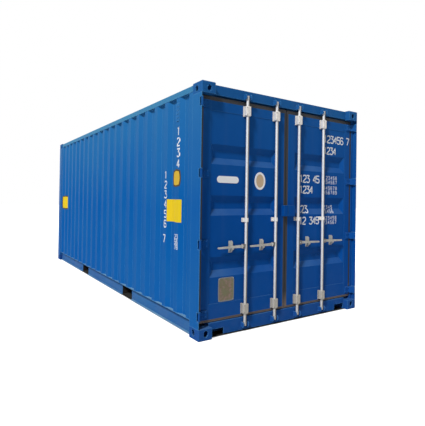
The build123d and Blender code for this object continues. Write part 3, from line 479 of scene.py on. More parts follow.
# The frame's blue is a darker copy too: painted shade for the end fittings and cam keepers, which
# sit in shade.
frame_paint = paint(
    "frame_paint", (0.001, 0.063, 0.29),
    fading=0.10, dust=0.14, chips=0.50, gloss=0.46, ledge=0.15, edge=0.5,
)
rail_paint = paint(
    "rail_paint", (0.020, 0.112, 0.34),
    fading=0.34, dust=0.25, chips=0.50, gloss=0.46, ledge=0.75, edge=0.5,
)
base_wax = paint("base_wax", (0.022, 0.015, 0.011), chips=0.6, gloss=0.6, ledge=0.05)
sticker_yellow = paint("sticker_yellow", (0.78, 0.56, 0.02), dust=0.10)
sticker_amber = paint("sticker_amber", (0.66, 0.43, 0.05))
sticker_border = paint("sticker_border", (0.10, 0.07, 0.03))
stencil_white = paint("stencil_white", (0.80, 0.82, 0.84), chips=0.35, gloss=0.5)
print("paints", len(bpy.data.materials))

# %% [markdown]
# The locking bars, their brackets and the handles are hot-dip galvanised. Zinc freezes into pale
# crystals, so a Voronoi cell pattern gives each crystal its own grey, with a little white bloom
# and a few rust stains. Road grime darkens it near the ground. A bar is painted darker on every
# side but the one that faces -Y, towards the sun: painted shade.

# %% Galvanised steel
CRYSTAL_SCALE = 70.0
CRYSTAL_TONES = (0.93, 1.05)
ZINC_BLOOM = 0.4
BLOOM_COLOUR = (0.82, 0.82, 0.80, 1)
BLOOM_PATCHES = (9.0, EVEN, 4.0, 0.48, 0.72)
BLOOM_ROUGHENS = 0.2
STAIN_COLOUR = (0.24, 0.15, 0.09, 1)
STAIN_PATCHES = (18.0, (1, 1, 0.2), 4.0, 0.68, 0.82)
STAINING = 0.30
GRIME_HEIGHTS = (1.1, 0.3)
GRIME_COLOUR = (0.36, 0.33, 0.27, 1)
PAINTED_SHADE_FACING = (-0.70, -0.05)
PAINTED_SHADE_COLOUR = (0.11, 0.10, 0.09, 1)
ZINC_ROUGHNESS = (0.38, 0.5)
ZINC_GRAIN_SCALE, ZINC_GRAIN_HEIGHT = 220.0, 0.3


def galvanised(name, colour, metallic, grime, painted_side_shade=0.0):
    """Pale zinc with crystals and bloom, grimy near the ground, painted shade where not facing -Y.
    """
    material, tree, shader, bump = shader_with_bump(name)
    place = add_node(tree, "ShaderNodeTexCoord").outputs
    here = place["Object"]
    cells = {"Vector": here, "Scale": CRYSTAL_SCALE}
    crystals = add_node(tree, "ShaderNodeTexVoronoi", sockets=cells).outputs["Color"]
    grey = add_node(tree, "ShaderNodeSeparateColor", sockets={0: crystals}).outputs[0]
    dark, light = (
        (*(min(1.0, value * tone) for value in colour), 1) for tone in CRYSTAL_TONES
    )
    metal = blend_colours(tree, grey, dark, light)
    bloom = patches(tree, here, BLOOM_PATCHES, 0.0, ZINC_BLOOM)
    metal = blend_colours(tree, bloom, metal, BLOOM_COLOUR)
    stains = patches(tree, here, STAIN_PATCHES, 0.0, STAINING)
    metal = blend_colours(tree, stains, metal, STAIN_COLOUR)
    low = ramp(tree, part_of(tree, here, "Z"), *GRIME_HEIGHTS, 0.0, grime)
    metal = blend_colours(tree, low, metal, GRIME_COLOUR)
    # Painted shade: faces not turned towards -Y darken, whatever the lamps do.
    facing = part_of(tree, place["Normal"], "Y")
    shaded_side = ramp(tree, facing, *PAINTED_SHADE_FACING, 0.0, painted_side_shade)
    metal = blend_colours(tree, shaded_side, metal, PAINTED_SHADE_COLOUR)
    tree.links.new(metal, shader.inputs["Base Color"])
    shader.inputs["Metallic"].default_value = metallic
    rough = ramp(tree, grey, 0.0, 1.0, *ZINC_ROUGHNESS)
    rough = combine(tree, "ADD", rough, times(tree, bloom, BLOOM_ROUGHENS))
    tree.links.new(rough, shader.inputs["Roughness"])
    grain = times(tree, noise(tree, here, ZINC_GRAIN_SCALE), ZINC_GRAIN_HEIGHT)
    tree.links.new(grain, bump.inputs["Height"])
    return material


zinc = galvanised(
    "galvanised_steel", (0.84, 0.84, 0.85), metallic=0.22, grime=0.40, painted_side_shade=0.88
)
bracket_zinc = galvanised("bracket_steel", (0.84, 0.80, 0.75), metallic=0.15, grime=0.75)
dull_zinc = galvanised("dull_galvanised_steel", (0.44, 0.43, 0.39), metallic=0.2, grime=0.2)
print("zinc ready")

# %% [markdown]
# The door gaskets are black extruded rubber, greyed by dust and browned by dirt near the ground.
# The floor is plywood: long grain, and a darker tone where growth rings come to the surface.

# %% Rubber and plywood
RUBBER_CLEAN, RUBBER_DUSTY = (0.017, 0.017, 0.021, 1), (0.052, 0.048, 0.048, 1)
RUBBER_PATCHES = (6.0, EVEN, 4.0, 0.4, 0.75)
RUBBER_DUST = (0.05, 0.5)
RUBBER_ROUGHNESS = (0.6, 0.85)
RUBBER_GRAIN_SCALE = 180.0
DIRT_COLOUR = (0.15, 0.115, 0.10, 1)
DIRT_HEIGHTS = (0.35, 0.20)
DIRT_COVER = 0.8
GRAIN_SCALE, GRAIN_STRETCH, GRAIN_DETAIL = 30.0, (0.05, 1.0, 1.0), 6.0
GRAIN_COLOUR = (0.17, 0.09, 0.045, 1)
GRAIN_RANGE = (0.35, 0.7, 0.0, 0.6)
GRAIN_ROUGHNESS = (0.3, 0.7, 0.55, 0.75)
RINGS = (6.0, (0.12, 1.0, 1.0), 4.0, 0.4, 0.62)
PALE_WOOD, RING_WOOD = (0.40, 0.235, 0.115, 1), (0.27, 0.145, 0.065, 1)


def rubber_material():
    """Dark rubber with a fine grain, dusty patches and brown dirt near the ground."""
    material, tree, shader, bump = shader_with_bump("gasket_rubber")
    here = own_place(tree)
    dusty = patches(tree, here, RUBBER_PATCHES, *RUBBER_DUST)
    colour = blend_colours(tree, dusty, RUBBER_CLEAN, RUBBER_DUSTY)
    low = ramp(tree, part_of(tree, here, "Z"), *DIRT_HEIGHTS, 0.0, DIRT_COVER)
    colour = blend_colours(tree, low, colour, DIRT_COLOUR)
    tree.links.new(colour, shader.inputs["Base Color"])
    rough = ramp(tree, dusty, 0.0, RUBBER_DUST[1], *RUBBER_ROUGHNESS)
    tree.links.new(rough, shader.inputs["Roughness"])
    tree.links.new(noise(tree, here, RUBBER_GRAIN_SCALE), bump.inputs["Height"])
    return material


def plywood_material():
    """Long grain along the container, ringed and slightly scuffed."""
    material, tree, shader, bump = shader_with_bump("floor_plywood")
    here = own_place(tree)
    grain = noise(tree, here, GRAIN_SCALE, GRAIN_STRETCH, GRAIN_DETAIL)
    tone = blend_colours(tree, patches(tree, here, RINGS), PALE_WOOD, RING_WOOD)
    colour = blend_colours(tree, ramp(tree, grain, *GRAIN_RANGE), tone, GRAIN_COLOUR)
    tree.links.new(colour, shader.inputs["Base Color"])
    tree.links.new(ramp(tree, grain, *GRAIN_ROUGHNESS), shader.inputs["Roughness"])
    tree.links.new(grain, bump.inputs["Height"])
    return material


rubber = rubber_material()
plywood = plywood_material()
print("rubber and plywood ready")

# %% [markdown]
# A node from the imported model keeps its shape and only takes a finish. The name of each node says
# what it is made of, so a short table of words is enough. The first word that fits decides.

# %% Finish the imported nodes
FINISHES = (
    ("gasket", rubber),
    ("floor_panels", plywood),
    ("locking_bar", zinc),
    ("handle", dull_zinc),
    ("bar_brackets", bracket_zinc),
    ("side_rail", rail_paint),
    ("post_hinge_lugs", frame_paint),
    # The right rear post takes the doors' darker paint and the other posts the walls' paint:
    # painted shade.
    ("right_rear_post", door_paint),
    ("post", skin_paint),
    ("cross_members", base_wax),
    ("fork_pocket", base_wax),
    ("hinge_blades", door_paint),
    ("door_stiles", door_paint),
    ("door_rails", door_paint),
    ("door_panel", door_paint),
    ("lock_box", door_paint),
    ("side_wall", skin_paint),
    ("front_wall", skin_paint),
    ("roof", skin_paint),
    ("vent", skin_paint),
)


def finish_node(name):
    """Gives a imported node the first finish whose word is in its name, or the frame's paint."""
    chosen = next((material for word, material in FINISHES if word in name), frame_paint)
    mesh = nodes[name].data
    mesh.materials.clear()
    mesh.materials.append(chosen)
    return chosen.name


used = {finish_node(name) for name in sorted(nodes)}
print("finishes in use:", ", ".join(sorted(used)))

# %% [markdown]
# Everything added from here on is a surface worked out with numpy. A shape is an array of points,
# rows by columns, and the same few lines turn any such array into a mesh. Many small copies, such
# as bolt heads, are one array with one more axis. A shell closes where its points fall together.

# %% Surfaces from arrays
SAME_POINT = 1e-6
NO_LENGTH = 1e-7


def grid_faces(rows, columns, wrap):
    """Corner numbers of the quads of a grid, joined round its columns when wrap is true."""
    row = np.arange(rows - 1)[:, None]
    column = np.arange(columns if wrap else columns - 1)[None, :]
    after = (column + 1) % columns
    here, above = row * columns, (row + 1) * columns
    corners = np.stack([here + column, here + after, above + after, above + column], -1)
    return corners.reshape(-1, 4)


def close_shell(mesh):
    """Welds the points that fall together and turns every face outwards."""
    shell = bmesh.new()
    shell.from_mesh(mesh)
    bmesh.ops.remove_doubles(shell, verts=shell.verts, dist=SAME_POINT)
    bmesh.ops.dissolve_degenerate(shell, edges=shell.edges, dist=NO_LENGTH)
    bmesh.ops.recalc_face_normals(shell, faces=shell.faces)
    shell.to_mesh(mesh)
    shell.free()


def add_surface(name, points, material, body, wrap=False, thickness=0.0, closed=False):
    """Makes a mesh of one grid of points, or of several alike, and lets it ride on a body."""
    points = np.asarray(points, float)
    grids = points.reshape(-1, *points.shape[-3:])
    count, rows, columns = grids.shape[:3]
    faces = grid_faces(rows, columns, wrap)
    shifts = np.arange(count)[:, None, None] * rows * columns
    mesh = bpy.data.meshes.new(name)
    quads = (faces[None] + shifts).reshape(-1, 4)
    mesh.from_pydata(grids.reshape(-1, 3).tolist(), [], quads.tolist())
    mesh.validate()
    if closed:
        close_shell(mesh)
    piece = bpy.data.objects.new(name, mesh)
    bpy.context.collection.objects.link(piece)
    mesh.materials.append(material)
    if thickness:
        solid = piece.modifiers.new("thickness", "SOLIDIFY")
        solid.thickness = thickness
        solid.offset = -1
    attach(piece, body)


def add_shell(name, points, material, body):
    """A closed surface, joined round its columns."""
    add_surface(name, points, material, body, wrap=True, closed=True)


print("surfaces ready")

# %% [markdown]
# Stickers on the long side are thin film pressed onto the corrugated sheet, so they follow its
# waves. The wave is a formula: the depth is nothing on an outer flat, grows along a slope and
# stays at its full value in a recess.

# %% Stickers on the long side
WAVE_PITCH = 0.280
WAVE_FLAT = 0.074
WAVE_SLOPE = 0.068
WAVE_DEPTH = 0.036
FILM = 0.0006
FILM_COLUMNS, FILM_ROWS = 61, 21
wall_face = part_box("left_side_wall")[0].y


def wave_depth(along, pitch, flat, slope, depth):
    """Depth behind the outer flats: distance from a flat's edge over the slope's run, clipped."""
    from_flat = np.abs((along + pitch / 2) % pitch - pitch / 2) - flat / 2
    return depth * np.clip(from_flat / slope, 0, 1)


def wall_depth(x):
    """Depth of the long side's wave at a place along it."""
    return wave_depth(x, WAVE_PITCH, WAVE_FLAT, WAVE_SLOPE, WAVE_DEPTH)


def wall_film(x_span, z_span, rounding, layer):
    """Grid over a patch of the wall, lifted off it by a number of film thicknesses.

    The patch is a square from -1 to 1 either way. Each coordinate is drawn in by the root of one
    less half the rounding times the other one squared, which rounds the corners.
    """
    u, v = np.meshgrid(np.linspace(-1, 1, FILM_COLUMNS), np.linspace(-1, 1, FILM_ROWS))
    x = np.mean(x_span) + np.ptp(x_span) / 2 * u * np.sqrt(1 - rounding * v ** 2 / 2)
    z = np.mean(z_span) + np.ptp(z_span) / 2 * v * np.sqrt(1 - rounding * u ** 2 / 2)
    return np.stack([x, wall_face + wall_depth(x) - layer * FILM, z], -1)


def add_film(name, film, material, body):
    """A film half as thick as the step between two layers."""
    add_surface(name, film, material, body, thickness=FILM / 2)


SIDE_STICKERS = {
    "near_yellow_sticker": ((2.282, 2.595), (1.150, 1.400), 0.0, 1, sticker_yellow),
    "far_yellow_border": ((-2.770, -2.280), (1.140, 1.435), 0.3, 1, sticker_border),
    "far_yellow_sticker": ((-2.745, -2.305), (1.165, 1.410), 0.1, 2, sticker_yellow),
    "small_amber_border": ((2.366, 2.582), (1.538, 1.732), 0.4, 1, sticker_border),
    "small_amber_sticker": ((2.382, 2.568), (1.556, 1.714), 0.4, 2, sticker_amber),
}
for name, (x_span, z_span, rounding, layer, material) in SIDE_STICKERS.items():
    add_film(name, wall_film(x_span, z_span, rounding, layer), material, "container")
print("side stickers", len(SIDE_STICKERS))

# %% [markdown]
# The doors carry plates and white numerals. A pressed door sheet is not flat, so a film on it
# needs the sheet's own formula: three level troughs with sloping sides and ends.

# %% Shape of the door sheet
TROUGH_HEIGHTS = (1.876, 1.345, 0.708)
TROUGH_HALF_HEIGHT = 0.104
TROUGH_RUN = 0.068
TROUGH_END_RUN = 0.046
TROUGH_DEPTH = 0.036
TROUGH_MARGIN = 0.014
panel_low, panel_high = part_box("left_door_panel")
sheet_face = panel_high.x
panel_middle = -(panel_low.y + panel_high.y) / 2
trough_half_length = (panel_high.y - panel_low.y) / 2 - TROUGH_MARGIN


def door_depth(y, z):
    """Depth of a door sheet: the lesser rise from a trough's end and from its edge, clipped."""
    from_end = (trough_half_length - np.abs(np.abs(y) - panel_middle)) / TROUGH_END_RUN
    heights = np.asarray(TROUGH_HEIGHTS).reshape(-1, *([1] * np.ndim(z)))
    from_edge = (TROUGH_HALF_HEIGHT - np.abs(z - heights)) / TROUGH_RUN
    return TROUGH_DEPTH * np.clip(np.minimum(from_end, from_edge), 0, 1).max(0)


print("door sheet face at x", round(sheet_face, 4))

# %% [markdown]
# The numerals are sprayed through a stencil. Each one is a stroke: a few points on a small grid,
# walked at an even pace and given a width. Only plain counting numbers are used.

# %% Stroke numerals
STROKES = {
    "1": [(.12, .84), (.32, 1), (.32, 0)],
    "2": [(0, .85), (.15, 1), (.45, 1), (.6, .85), (.6, .6), (0, .12), (0, 0), (.6, 0)],
    "3": [(0, 1), (.6, 1), (.26, .6), (.45, .6), (.6, .45), (.6, .15), (.45, 0), (.15, 0),
          (0, .15)],
    "4": [(.46, 0), (.46, 1), (0, .3), (.6, .3)],
    "5": [(.6, 1), (0, 1), (0, .56), (.45, .56), (.6, .41), (.6, .15), (.45, 0), (.15, 0),
          (0, .15)],
    "6": [(.6, .85), (.45, 1), (.15, 1), (0, .85), (0, .15), (.15, 0), (.45, 0), (.6, .15),
          (.6, .4), (.45, .55), (0, .55)],
    "7": [(0, 1), (.6, 1), (.22, 0)],
    "8": [(.15, .52), (0, .67), (0, .85), (.15, 1), (.45, 1), (.6, .85), (.6, .67), (.45, .52),
          (.6, .37), (.6, .15), (.45, 0), (.15, 0), (0, .15), (0, .37), (.15, .52), (.45, .52)],
    "9": [(0, .15), (.15, 0), (.45, 0), (.6, .15), (.6, .85), (.45, 1), (.15, 1), (0, .85),
          (0, .6), (.15, .45), (.6, .45)],
}
STROKE_POINTS = 49
GLYPH_WIDTH = 0.6
STROKE_WIDTH = 0.16
TINY = 1e-9


def stroke(digit):
    """Ribbon along a digit's points: an even walk by arc length, pushed half a width each way."""
    corners = np.asarray(STROKES[digit])
    walked = np.concatenate([[0], np.cumsum(np.hypot(*np.diff(corners, axis=0).T))])
    even = np.linspace(0, walked[-1], STROKE_POINTS)
    path = np.stack([np.interp(even, walked, corners[:, axis]) for axis in (0, 1)], -1)
    along = np.gradient(path, axis=0)
    along /= np.linalg.norm(along, axis=1, keepdims=True) + TINY
    sideways = np.stack([-along[:, 1], along[:, 0]], -1) * STROKE_WIDTH / 2
    return np.stack([path - sideways, path + sideways])


def numerals(text, height, pitch, upright=False):
    """Flat ribbons of a whole number, side by side or one below another, from (0, 0)."""
    placed = [(place, digit) for place, digit in enumerate(text) if digit != " "]
    ribbons = np.stack([stroke(digit) for _, digit in placed]) * height
    steps = np.asarray([place for place, _ in placed])[:, None, None] * pitch
    ribbons[..., 1 if upright else 0] += -steps if upright else steps
    return ribbons


print("numerals", len(STROKES))

# %% [markdown]
# The right leaf carries its numbers in level rows, large ones first and small ones in a block. A
# row is a text, where it starts across and up, the height of a numeral and the step to the next.
# The flat ribbons are laid on the sheet by its formula, and on the stile where they run past it.

# %% Numerals on the right leaf
DOOR_ROWS = (
    ("123456", 0.655, 2.150, 0.088, 0.064),
    ("7", 1.088, 2.150, 0.088, 0.064),
    ("1234", 0.655, 2.005, 0.084, 0.060),
    ("123 45", 0.235, 1.632, 0.084, 0.058),
    ("1234", 0.235, 1.500, 0.084, 0.058),
    ("123", 0.235, 1.262, 0.084, 0.058),
    ("12 345", 0.235, 1.122, 0.084, 0.058),
    ("123456", 0.660, 1.682, 0.040, 0.045),
    ("234567", 0.660, 1.626, 0.040, 0.045),
    ("345678", 0.660, 1.552, 0.040, 0.045),
    ("456789", 0.660, 1.496, 0.040, 0.045),
    ("12345", 0.660, 1.310, 0.040, 0.045),
    ("23456", 0.660, 1.256, 0.040, 0.045),
    ("123456", 0.660, 1.172, 0.040, 0.045),
    ("234567", 0.660, 1.116, 0.040, 0.045),
)
stile_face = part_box("right_door_stiles")[1].x


def door_film(flat, y_start, z_start):
    """Lays flat ribbons on the right leaf: on its sheet and troughs, or on the stile beyond."""
    y, z = y_start + flat[..., 0], z_start + flat[..., 1]
    on_sheet = sheet_face - door_depth(y, z)
    return np.stack([np.where(y > -panel_low.y, stile_face, on_sheet) + FILM, y, z], -1)


for number, (text, y_start, z_start, height, pitch) in enumerate(DOOR_ROWS):
    film = door_film(numerals(text, height, pitch), y_start, z_start)
    add_film(f"door_numerals_{number}", film, stencil_white, "right_door")
print("door rows", len(DOOR_ROWS))

# %% [markdown]
# On the long side the large numbers stand one numeral below another, so that they fit on the waves
# near the doors, and a small block stands under them. The ribbons follow the waves as stickers do.

# %% Numerals on the long side
SIDE_COLUMNS = (
    ("1234", 2.538, 2.105, 0.085, 0.118),
    ("123456", 2.252, 1.640, 0.080, 0.112),
    ("7", 2.235, 0.905, 0.085, 0.112),
)
SIDE_ROWS = (
    ("123", 2.440, 0.970, 0.047, 0.042),
    ("456", 2.440, 0.913, 0.047, 0.042),
    ("78", 2.482, 0.856, 0.047, 0.042),
)


def side_film(flat, x_start, z_start):
    """Lays flat ribbons on the left wall, reading from outside, following its waves."""
    x, z = x_start + flat[..., 0], z_start + flat[..., 1]
    return np.stack([x, wall_face + wall_depth(x) - FILM, z], -1)


for number, (text, x_middle, z_start, height, pitch) in enumerate(SIDE_COLUMNS):
    flat = numerals(text, height, pitch, upright=True)
    film = side_film(flat, x_middle - GLYPH_WIDTH * height / 2, z_start)
    add_film(f"side_numerals_{number}", film, stencil_white, "container")
for number, (text, x_start, z_start, height, pitch) in enumerate(SIDE_ROWS):
    film = side_film(numerals(text, height, pitch), x_start, z_start)
    add_film(f"side_small_numerals_{number}", film, stencil_white, "container")
print("side columns", len(SIDE_COLUMNS), "and small rows", len(SIDE_ROWS))

# %% [markdown]
# Three plates are fixed to the left leaf: a long white one with round ends, an oval one with a
# pale rim, and a bronze data plate, tarnished in patches, in a grey rim. They are blank. One
# formula serves them all. A superellipse runs from a plain oval, at power 2, towards a rectangle
# as the power grows.

# %% Plates on the left leaf
PLATE_COLUMNS = 72
OVAL = 2.0
ROUND_ENDS = 0
SQUARE = 9.0
WHOLE = 1.0
BRONZE = (0.185, 0.145, 0.085, 1)
BRONZE_GREEN = (0.17, 0.165, 0.085, 1)
BRONZE_PINK = (0.29, 0.18, 0.16, 1)
BRONZE_ROUGHNESS = 0.45
BRONZE_GRAIN_SCALE = 90.0
GREEN_PATCHES = (14.0, EVEN, 4.0, 0.42, 0.60)
PINK_SPOTS = (30.0, EVEN, 4.0, 0.48, 0.68)


def tarnished(name):
    """Bronze with patches of green tarnish and spots of worn pink."""
    material, tree, shader, bump = shader_with_bump(name)
    here = own_place(tree)
    colour = blend_colours(tree, patches(tree, here, GREEN_PATCHES), BRONZE, BRONZE_GREEN)
    colour = blend_colours(tree, patches(tree, here, PINK_SPOTS), colour, BRONZE_PINK)
    tree.links.new(colour, shader.inputs["Base Color"])
    tree.links.new(noise(tree, here, BRONZE_GRAIN_SCALE), bump.inputs["Height"])
    shader.inputs["Roughness"].default_value = BRONZE_ROUGHNESS
    return material


plate_white = paint("plate_white", (0.86, 0.86, 0.87), dust=0.10, chips=0.15)
plate_tan = paint("plate_tan", (0.58, 0.43, 0.28), dust=0.25, chips=0.2)
plate_bronze = tarnished("plate_bronze")
plate_grey = paint("plate_grey", (0.24, 0.25, 0.25), dust=0.2, chips=0.2)


def superellipse(power, points=PLATE_COLUMNS):
    """Outline points with |y| to the power plus |z| to the power equal to 1."""
    angle = np.linspace(0, 2 * np.pi, points, endpoint=False)
    circle = np.stack([np.cos(angle), np.sin(angle)], -1)
    return np.sign(circle) * np.abs(circle) ** (2 / power)


def plate(centre, half_size, power, profile):
    """The outline drawn in by each profile row (inset, height), both in metres, from the sheet.

    Round ends are a circle of the plate's half height, pulled apart sideways.
    """
    inset, height = np.asarray(profile).T
    half = np.asarray(half_size)
    outline = superellipse(OVAL if power == ROUND_ENDS else power)
    pull = np.zeros(2)
    if power == ROUND_ENDS:
        pull[0] = half[0] - half[1]
        half = half - pull
    drawn = np.maximum(half[None, :] - inset[:, None], 0)
    shift = np.sign(outline) * pull * (inset < WHOLE)[:, None, None]
    flat = np.asarray(centre) + drawn[:, None, :] * outline[None] + shift
    x = np.broadcast_to(sheet_face + height[:, None, None], flat.shape[:2] + (1,))
    return np.concatenate([x, flat], -1)


PLATES = {
    "long_white_plate": (
        (-0.832, 1.617), (0.141, 0.036), ROUND_ENDS, plate_white,
        [(WHOLE, 0), (0, 0), (0, 0.0018), (0.002, 0.0025), (WHOLE, 0.0025)],
    ),
    "oval_plate_rim": (
        (-0.392, 1.619), (0.078, 0.098), OVAL, plate_white,
        [(WHOLE, 0), (0, 0), (0, 0.0022), (0.003, 0.0034), (0.021, 0.0034), (0.023, 0.0022),
         (WHOLE, 0.0022)],
    ),
    "oval_plate_field": (
        (-0.392, 1.619), (0.054, 0.074), OVAL, plate_tan,
        [(WHOLE, 0.0021), (0, 0.0021), (0, 0.0028), (0.012, 0.0028), (0.013, 0.0034),
         (0.015, 0.0034), (0.016, 0.0028), (WHOLE, 0.0028)],
    ),
    "data_plate": (
        (-0.837, 0.466), (0.102, 0.125), SQUARE, plate_bronze,
        [(WHOLE, 0), (0, 0), (0, 0.0016), (0.001, 0.0022), (WHOLE, 0.0022)],
    ),
    "data_plate_rim": (
        (-0.837, 0.466), (0.102, 0.125), SQUARE, plate_grey,
        [(0.012, 0.0012), (0, 0.0012), (0, 0.0026), (0.001, 0.0032), (0.011, 0.0032),
         (0.012, 0.0012)],
    ),
}
for name, (centre, half_size, power, finish, profile) in PLATES.items():
    shape = plate(centre, half_size, power, profile)
    add_shell(name, shape, finish, "left_door")
print("plates", len(PLATES))

# %% [markdown]
# Each bar runs through a cast housing at its top and at its foot. On the real gear the housing is
# a block with a bore, bolted to the leaf over the strap. Its section is a superellipse outside and
# a circle inside. Rows carry it up the bevelled outside, over, and back down the bore.

# %% Bearing housings
SIDES = (("left", -1), ("right", 1))
REAR_PLANE = cad_box[1].x
BAR_PLACES = np.asarray((0.180, 0.607))
BAR_AXIS_DEPTH = 0.038
HOUSING_LEVELS = (0.241, 2.363)
HOUSING_HALF_HEIGHT = 0.052
HOUSING_HALF_WIDTH = 0.034
HOUSING_DEPTHS = (0.0160, 0.0650)
HOUSING_BORE = 0.0182
HOUSING_POWER = 5.0
HOUSING_BEVEL = 0.004


def housings(sign):
    """For each bar and level: rows of the outer outline and of the bore, outlines by the angle."""
    outline = superellipse(HOUSING_POWER)
    half = np.asarray((HOUSING_HALF_WIDTH, np.ptp(HOUSING_DEPTHS) / 2))
    outer = outline * half + (0, np.mean(HOUSING_DEPTHS))
    drawn_in = outline * (half - HOUSING_BEVEL) + (0, np.mean(HOUSING_DEPTHS))
    bore = superellipse(OVAL) * HOUSING_BORE + (0, BAR_AXIS_DEPTH)
    section = np.stack([bore, drawn_in, outer, outer, drawn_in, bore, bore])
    top = HOUSING_HALF_HEIGHT
    rise = np.asarray((-top, -top, HOUSING_BEVEL - top, top - HOUSING_BEVEL, top, top, -top))
    across = np.repeat(sign * BAR_PLACES, len(HOUSING_LEVELS))[:, None, None]
    level = np.tile(HOUSING_LEVELS, len(BAR_PLACES))[:, None, None]
    y = across + section[None, ..., 0]
    x = np.broadcast_to(REAR_PLANE - section[None, ..., 1], y.shape)
    z = np.broadcast_to(level + rise[None, :, None], y.shape)
    return np.stack([x, y, z], -1)


for side, sign in SIDES:
    add_shell(f"{side}_bearing_housings", housings(sign), bracket_zinc, f"{side}_door")
print("bearing housings", len(SIDES) * len(BAR_PLACES) * len(HOUSING_LEVELS))

# %% [markdown]
# Bolts hold the housings, the bar guides, the hinge blades and the handle catches. Rivets hold the
# data plate and the handles, and each hinge pin ends in a round head. A head is a turned profile:
# six columns round it make a hexagon, and more make it round. All the heads of one kind on a leaf
# are one array of grids, placed by adding their centres.

# %% Bolts and rivets
HEX, ROUND = 6, 16
HEAD_PROFILE = np.asarray([(0, -0.2), (1, -0.2), (1, 0.62), (0.8, 1), (0, 1)])
OUT_OF_DOOR, UPWARDS = (1, 0, 0), (0, 0, 1)
CAP_BOLT, HINGE_BOLT, CATCH_BOLT = (0.0055, 0.0018), (0.008, 0.006), (0.0033, 0.003)
PIN_HEAD, HANDLE_RIVET, DATA_RIVET = (0.0085, 0.004), (0.010, 0.0045), (0.0045, 0.0018)
GUIDE_DEPTH, GUIDE_ROWS = 0.069, (1.180, 1.202)
CATCH_DEPTH, CATCH_ROWS, CATCH_OFFSET = 0.070, (0.865, 0.957), 0.185
HINGE_DEPTH, HINGE_COLUMNS = 0.060, np.asarray((1.143, 1.103))
HINGE_ENDS, HINGE_COUNT = (0.241, 2.382), 4
HINGE_Z = np.linspace(*HINGE_ENDS, HINGE_COUNT)
CAP_ACROSS, CAP_UP, GUIDE_ACROSS, CATCH_ACROSS, HINGE_UP = 0.025, 0.036, 0.030, 0.0183, 0.024
PIN_INSET, PIN_RISE = 0.012, 0.0485
HANDLE_Z, HANDLE_DEPTH, HANDLE_OFFSET = 0.911, 0.0265, 0.040
DATA_COLUMNS, DATA_ROWS, DATA_HEIGHT = (-0.929, -0.745), (0.352, 0.580), 0.003


def heads(places, radius, height, sides, axis):
    """Profile of (radius, height) rows turned about an axis at every place."""
    rows = HEAD_PROFILE * (radius, height)
    angle = np.linspace(0, 2 * np.pi, sides, endpoint=False)
    out = np.asarray(axis, float)
    across = np.roll(out, 1)
    third = np.cross(out, across)
    ring = np.cos(angle)[:, None] * across + np.sin(angle)[:, None] * third
    head = rows[:, 0, None, None] * ring[None] + rows[:, 1, None, None] * out
    return np.asarray(places, float)[:, None, None, :] + head[None]


def cross_places(depth, y_list, z_list):
    """Every pairing of the sideways and upward places, at one depth behind the door plane."""
    y, z = np.meshgrid(y_list, z_list, indexing="ij")
    return np.stack([np.full(y.size, REAR_PLANE - depth), y.ravel(), z.ravel()], -1)


def either_way(middles, half):
    """Two places for each middle, half a spacing to either side."""
    return (np.asarray(middles)[:, None] + np.asarray((-half, half))).ravel()


def add_heads(name, places, size, sides, material, body, axis=OUT_OF_DOOR):
    """Adds heads of one size, which is a radius and a height, at all the places."""
    add_shell(name, heads(places, *size, sides, axis), material, body)


cap_columns, cap_rows = either_way(BAR_PLACES, CAP_ACROSS), either_way(HOUSING_LEVELS, CAP_UP)
guide_columns = either_way(BAR_PLACES, GUIDE_ACROSS)
catch_columns = either_way(BAR_PLACES + CATCH_OFFSET, CATCH_ACROSS)
hinge_rows = either_way(HINGE_Z, HINGE_UP)
for side, sign in SIDES:
    door = f"{side}_door"
    bearing_bolts = np.concatenate([
        cross_places(HOUSING_DEPTHS[0], sign * cap_columns, cap_rows),
        cross_places(GUIDE_DEPTH, sign * guide_columns, GUIDE_ROWS),
    ])
    add_heads(f"{side}_bearing_bolts", bearing_bolts, CAP_BOLT, HEX, zinc, door)
    hinge_bolts = cross_places(HINGE_DEPTH, sign * HINGE_COLUMNS, hinge_rows)
    add_heads(
        f"{side}_hinge_bolts", hinge_bolts, HINGE_BOLT, HEX, door_paint, door
    )
    catch_bolts = cross_places(CATCH_DEPTH, sign * catch_columns, CATCH_ROWS)
    add_heads(f"{side}_catch_bolts", catch_bolts, CATCH_BOLT, HEX, zinc, door)
    pins = cross_places(PIN_INSET, [sign * (cad_box[1].y - PIN_INSET)], HINGE_Z + PIN_RISE)
    add_heads(
        f"{side}_hinge_pin_heads", pins, PIN_HEAD, ROUND, frame_paint, "container",
        UPWARDS,
    )
    for place, offset in zip(("inner", "outer"), BAR_PLACES):
        pivot = cross_places(HANDLE_DEPTH, [sign * (offset + HANDLE_OFFSET)], [HANDLE_Z])
        bar = f"{side}_{place}_bar"
        add_heads(
            f"{side}_{place}_handle_rivet", pivot, HANDLE_RIVET, ROUND, zinc, bar
        )
data_rivets = cross_places(REAR_PLANE - sheet_face - DATA_HEIGHT, DATA_COLUMNS, DATA_ROWS)
add_heads("data_plate_rivets", data_rivets, DATA_RIVET, ROUND, dull_zinc, "left_door")
print("bolts and rivets ready")

# %% [markdown]
# Where sheet meets frame there is a weld. A bead is a thin tube along the joint, and its radius
# ripples because the welder moves in small steps. The joint at the foot of a wall follows the
# wall's waves, so its path comes from the same depth formula.

# %% Weld beads
BEAD_RADIUS = 0.0032
BEAD_RIPPLE = 0.14
BEAD_STEP = 0.009
BEAD_SIDES = 6
END_PITCH, END_FLAT, END_SLOPE, END_DEPTH = 0.250, 0.110, 0.018, 0.045
wall_low, wall_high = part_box("left_side_wall")
end_low, end_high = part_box("front_wall")


